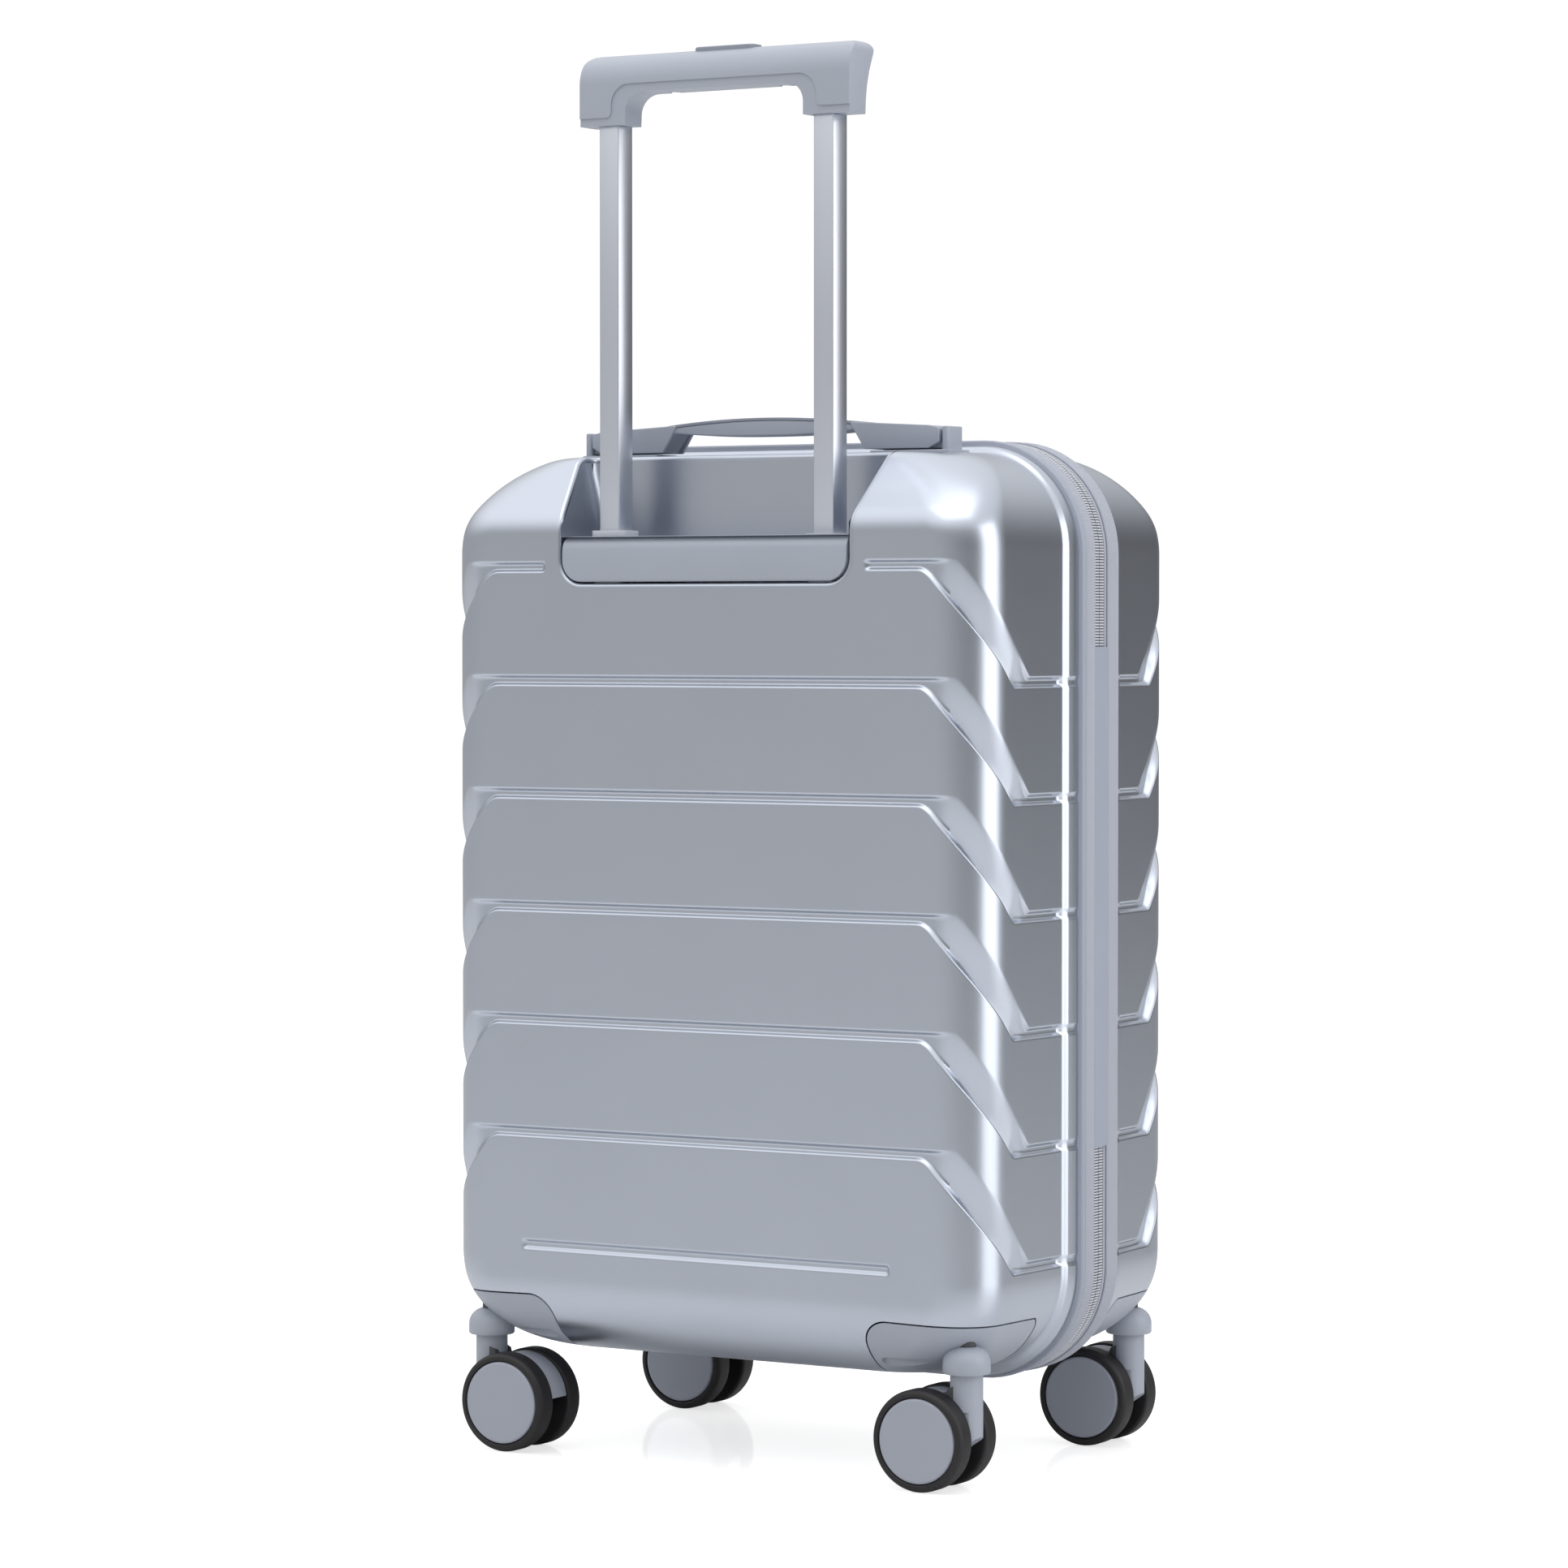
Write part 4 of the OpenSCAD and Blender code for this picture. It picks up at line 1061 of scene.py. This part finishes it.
def carry_end(sign):
    outline = rounded([(53.5, 548.8), (62.5, 534.3), (101, 534.3), (107.2, 537.5), (107.6, 544.8),
                       (101, 546.2)],
                      [0.8, 1.2, 1.5, 1.5, 2.0, 3.0], 4)
    block = prism("carry_block", [(sign * x, z) for x, z in (outline if sign > 0 else outline[::-1])], "y",
                  CARRY_Y - 11, CARRY_Y + 11)
    hollow = prism("carry_hollow",
                   [(sign * x, z) for x,
                    z in ((50, 545.0), (57.5, 545.0), (65, 534.8), (59, 532))][:: sign],
                   "y", CARRY_Y - 8.5, CARRY_Y + 8.5)
    return eased(carve(block, hollow), 1.0, 3)


def carry_arch():
    xs = np.linspace(-60, 60, 41)
    lens_top = [(x, 550.6 - 3.6 * (x / 60) ** 2) for x in xs]
    lens_low = [(x, 542.4 + 2.6 * (abs(x) / 60) ** 2.5) for x in xs[::-1]]
    lens = prism("lens", lens_top + lens_low, "y", CARRY_Y - 10, CARRY_Y + 10)
    strap = prism("strap",
                  [(x, 552.0 - 3.4 * (x / 60) ** 2) for x in xs]
                  + [(x, 550.5 - 3.6 * (x / 60) ** 2) for x in xs[::-1]],
                  "y", CARRY_Y - 10.3, CARRY_Y + 10.3)
    return eased(lens, 2.2, 4, 50), eased(strap, 0.4, 2, 50)


lens, strap_top = carry_arch()
tongues = [box("tongue", (s * 97, CARRY_Y - 6.5, 534.4), (s * 109, CARRY_Y + 6.5, 537.6)) for s in (-1, 1)]
arch = joined("carry_grip_cover", [lens, carry_end(1), carry_end(-1)] + tongues)
finished(arch, soft_elastomer, "carry", ["carry_grip"])
strap_top.name = "carry_strap"
finished(strap_top, dusk_abs, "carry", ())


def carry_base(sign):
    plate = eased(box("plate", (sign * 66, CARRY_Y - 11, 531), (sign * 113.5, CARRY_Y + 11, 533.5)), 0.5, 2)
    post = prism("post",
                 rounded([(sign * 108.4, CARRY_Y - 10), (sign * 112.4, CARRY_Y - 10),
                          (sign * 112.4, CARRY_Y + 6),
                         (sign * 108.4, CARRY_Y + 6)][:: sign], 1.5, 4), "z", 531, 545.6)
    window = box("window", (sign * 100, CARRY_Y - 6.8, 533.6), (sign * 110.6, CARRY_Y + 3.5, 543.6))
    return joined("base", [plate, eased(carve(post, window), 0.7, 3)])


bases = joined("carry_base_covers", [carry_base(1), carry_base(-1)])
finished(bases, grey_abs, "case", ["carry_bases"])

# ---------------------------------------------------------------- finishes of the CAD pieces
CAD_FINISHES = {
    "outer_tubes": anodised_tube, "middle_tubes": anodised_tube, "inner_tubes": anodised_tube,
    "tube_foot": dark_abs, "tube_plugs": dark_abs, "case_screws": plated_steel, "lid_screws": plated_steel,
    "grip_screws": plated_steel, "rear_lining": lining_weave, "front_lining": lining_weave,
                "lid_pocket": lining_weave,
    "packing_straps": strap_weave, "slider_upper": painted_zinc, "slider_lower": painted_zinc,
    "pull_upper": painted_zinc, "pull_lower": painted_zinc,
}
for name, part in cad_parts.items():
    finish = CAD_FINISHES.get(name, plated_steel if name.startswith("axle_") else grey_abs)
    part.data.materials.clear()
    part.data.materials.append(finish)

# ---------------------------------------------------------------- floor, light and camera
floor_finish, tree = new_finish("pale_studio_floor")
ray = add_node(tree, "ShaderNodeLightPath")
glow = add_node(tree, "ShaderNodeMath", {"operation": "MULTIPLY_ADD"}, {1: 0.66, 2: 0.02},
                {0: ray.outputs["Is Camera Ray"]})
floor_shader = add_node(tree, "ShaderNodeBsdfPrincipled",
                        values={"Base Color": linear("#E4E4E4"), "Roughness": 0.08,
                                "Specular IOR Level": 0.5,
                                "Emission Color": linear("#FFFFFF")},
                        links={"Emission Strength": glow.outputs[0]})
add_node(tree, "ShaderNodeOutputMaterial", links={"Surface": floor_shader.outputs["BSDF"]})
floor = turned("studio_floor", [(0, 0), (6000, 0), (6000, -20), (0, -20)], 96)
floor.data.materials.append(floor_finish)

world = bpy.data.worlds.new("studio")
bpy.context.scene.world = world
world.use_nodes = True
sky = world.node_tree
sky.nodes.clear()
place = add_node(sky, "ShaderNodeTexCoord")
split = add_node(sky, "ShaderNodeSeparateXYZ", links={"Vector": place.outputs["Generated"]})
height = add_node(sky, "ShaderNodeMapRange", {"interpolation_type": "SMOOTHSTEP"},
                  {"From Min": 0.1, "From Max": 0.75, "To Min": 0.0, "To Max": 0.95},
                  {"Value": split.outputs["Z"]})
toward = add_node(sky, "ShaderNodeVectorMath", {"operation": "DOT_PRODUCT"}, {1: (-0.87, -0.49, 0.0)},
                  {0: place.outputs["Generated"]})
around = add_node(sky, "ShaderNodeMapRange", {"interpolation_type": "SMOOTHSTEP"},
                  {"From Min": -0.8, "From Max": 0.9, "To Min": 0.11, "To Max": 0.53},
                  {"Value": toward.outputs["Value"]})
both = add_node(sky, "ShaderNodeMath", {"operation": "ADD"},
                links={0: height.outputs["Result"], 1: around.outputs["Result"]})
seen = add_node(sky, "ShaderNodeLightPath")
brightness = add_node(sky, "ShaderNodeMix", {"data_type": "FLOAT"}, {"B": 1.05},
                      {"Factor": seen.outputs["Is Camera Ray"], "A": both.outputs[0]})
back = add_node(sky, "ShaderNodeBackground", values={"Color": (1, 1, 1, 1)},
                links={"Strength": brightness.outputs["Result"]})
add_node(sky, "ShaderNodeOutputWorld", links={"Surface": back.outputs["Background"]})


def soft_box(name, azimuth, elevation, distance, width, tall, watts):
    """Area light aimed at the case; azimuth 0 stands before the rear face, 90 on the +X side."""
    lamp = bpy.data.lights.new(name, "AREA")
    lamp.shape, lamp.size, lamp.size_y, lamp.energy = "RECTANGLE", width, tall, watts
    made = bpy.data.objects.new(name, lamp)
    a, e = math.radians(azimuth), math.radians(elevation)
    aim = Vector((0, 0, 0.3))
    offset = Vector((math.sin(a) * math.cos(e), -math.cos(a) * math.cos(e), math.sin(e))) * distance
    made.location = aim + offset
    made.rotation_euler = (-offset).to_track_quat("-Z", "Y").to_euler()
    bpy.context.scene.collection.objects.link(made)
    return made


soft_box("strip_light", 97, 4, 2.4, 1.45, 2.6, 28)
soft_box("overhead_light", 40, 74, 2.4, 1.8, 1.8, 14)

view = bpy.data.cameras.new("camera")
camera = bpy.data.objects.new("camera", view)
camera.location = (1.4475, -2.4151, 0.4444)
camera.rotation_euler = (math.pi / 2 - 0.0311, 0, 0.545)
view.lens, view.sensor_width = 120.2, 36
view.clip_start, view.clip_end = 0.05, 50
bpy.context.scene.collection.objects.link(camera)
bpy.context.scene.camera = camera
bpy.context.scene.view_settings.view_transform = "Standard"
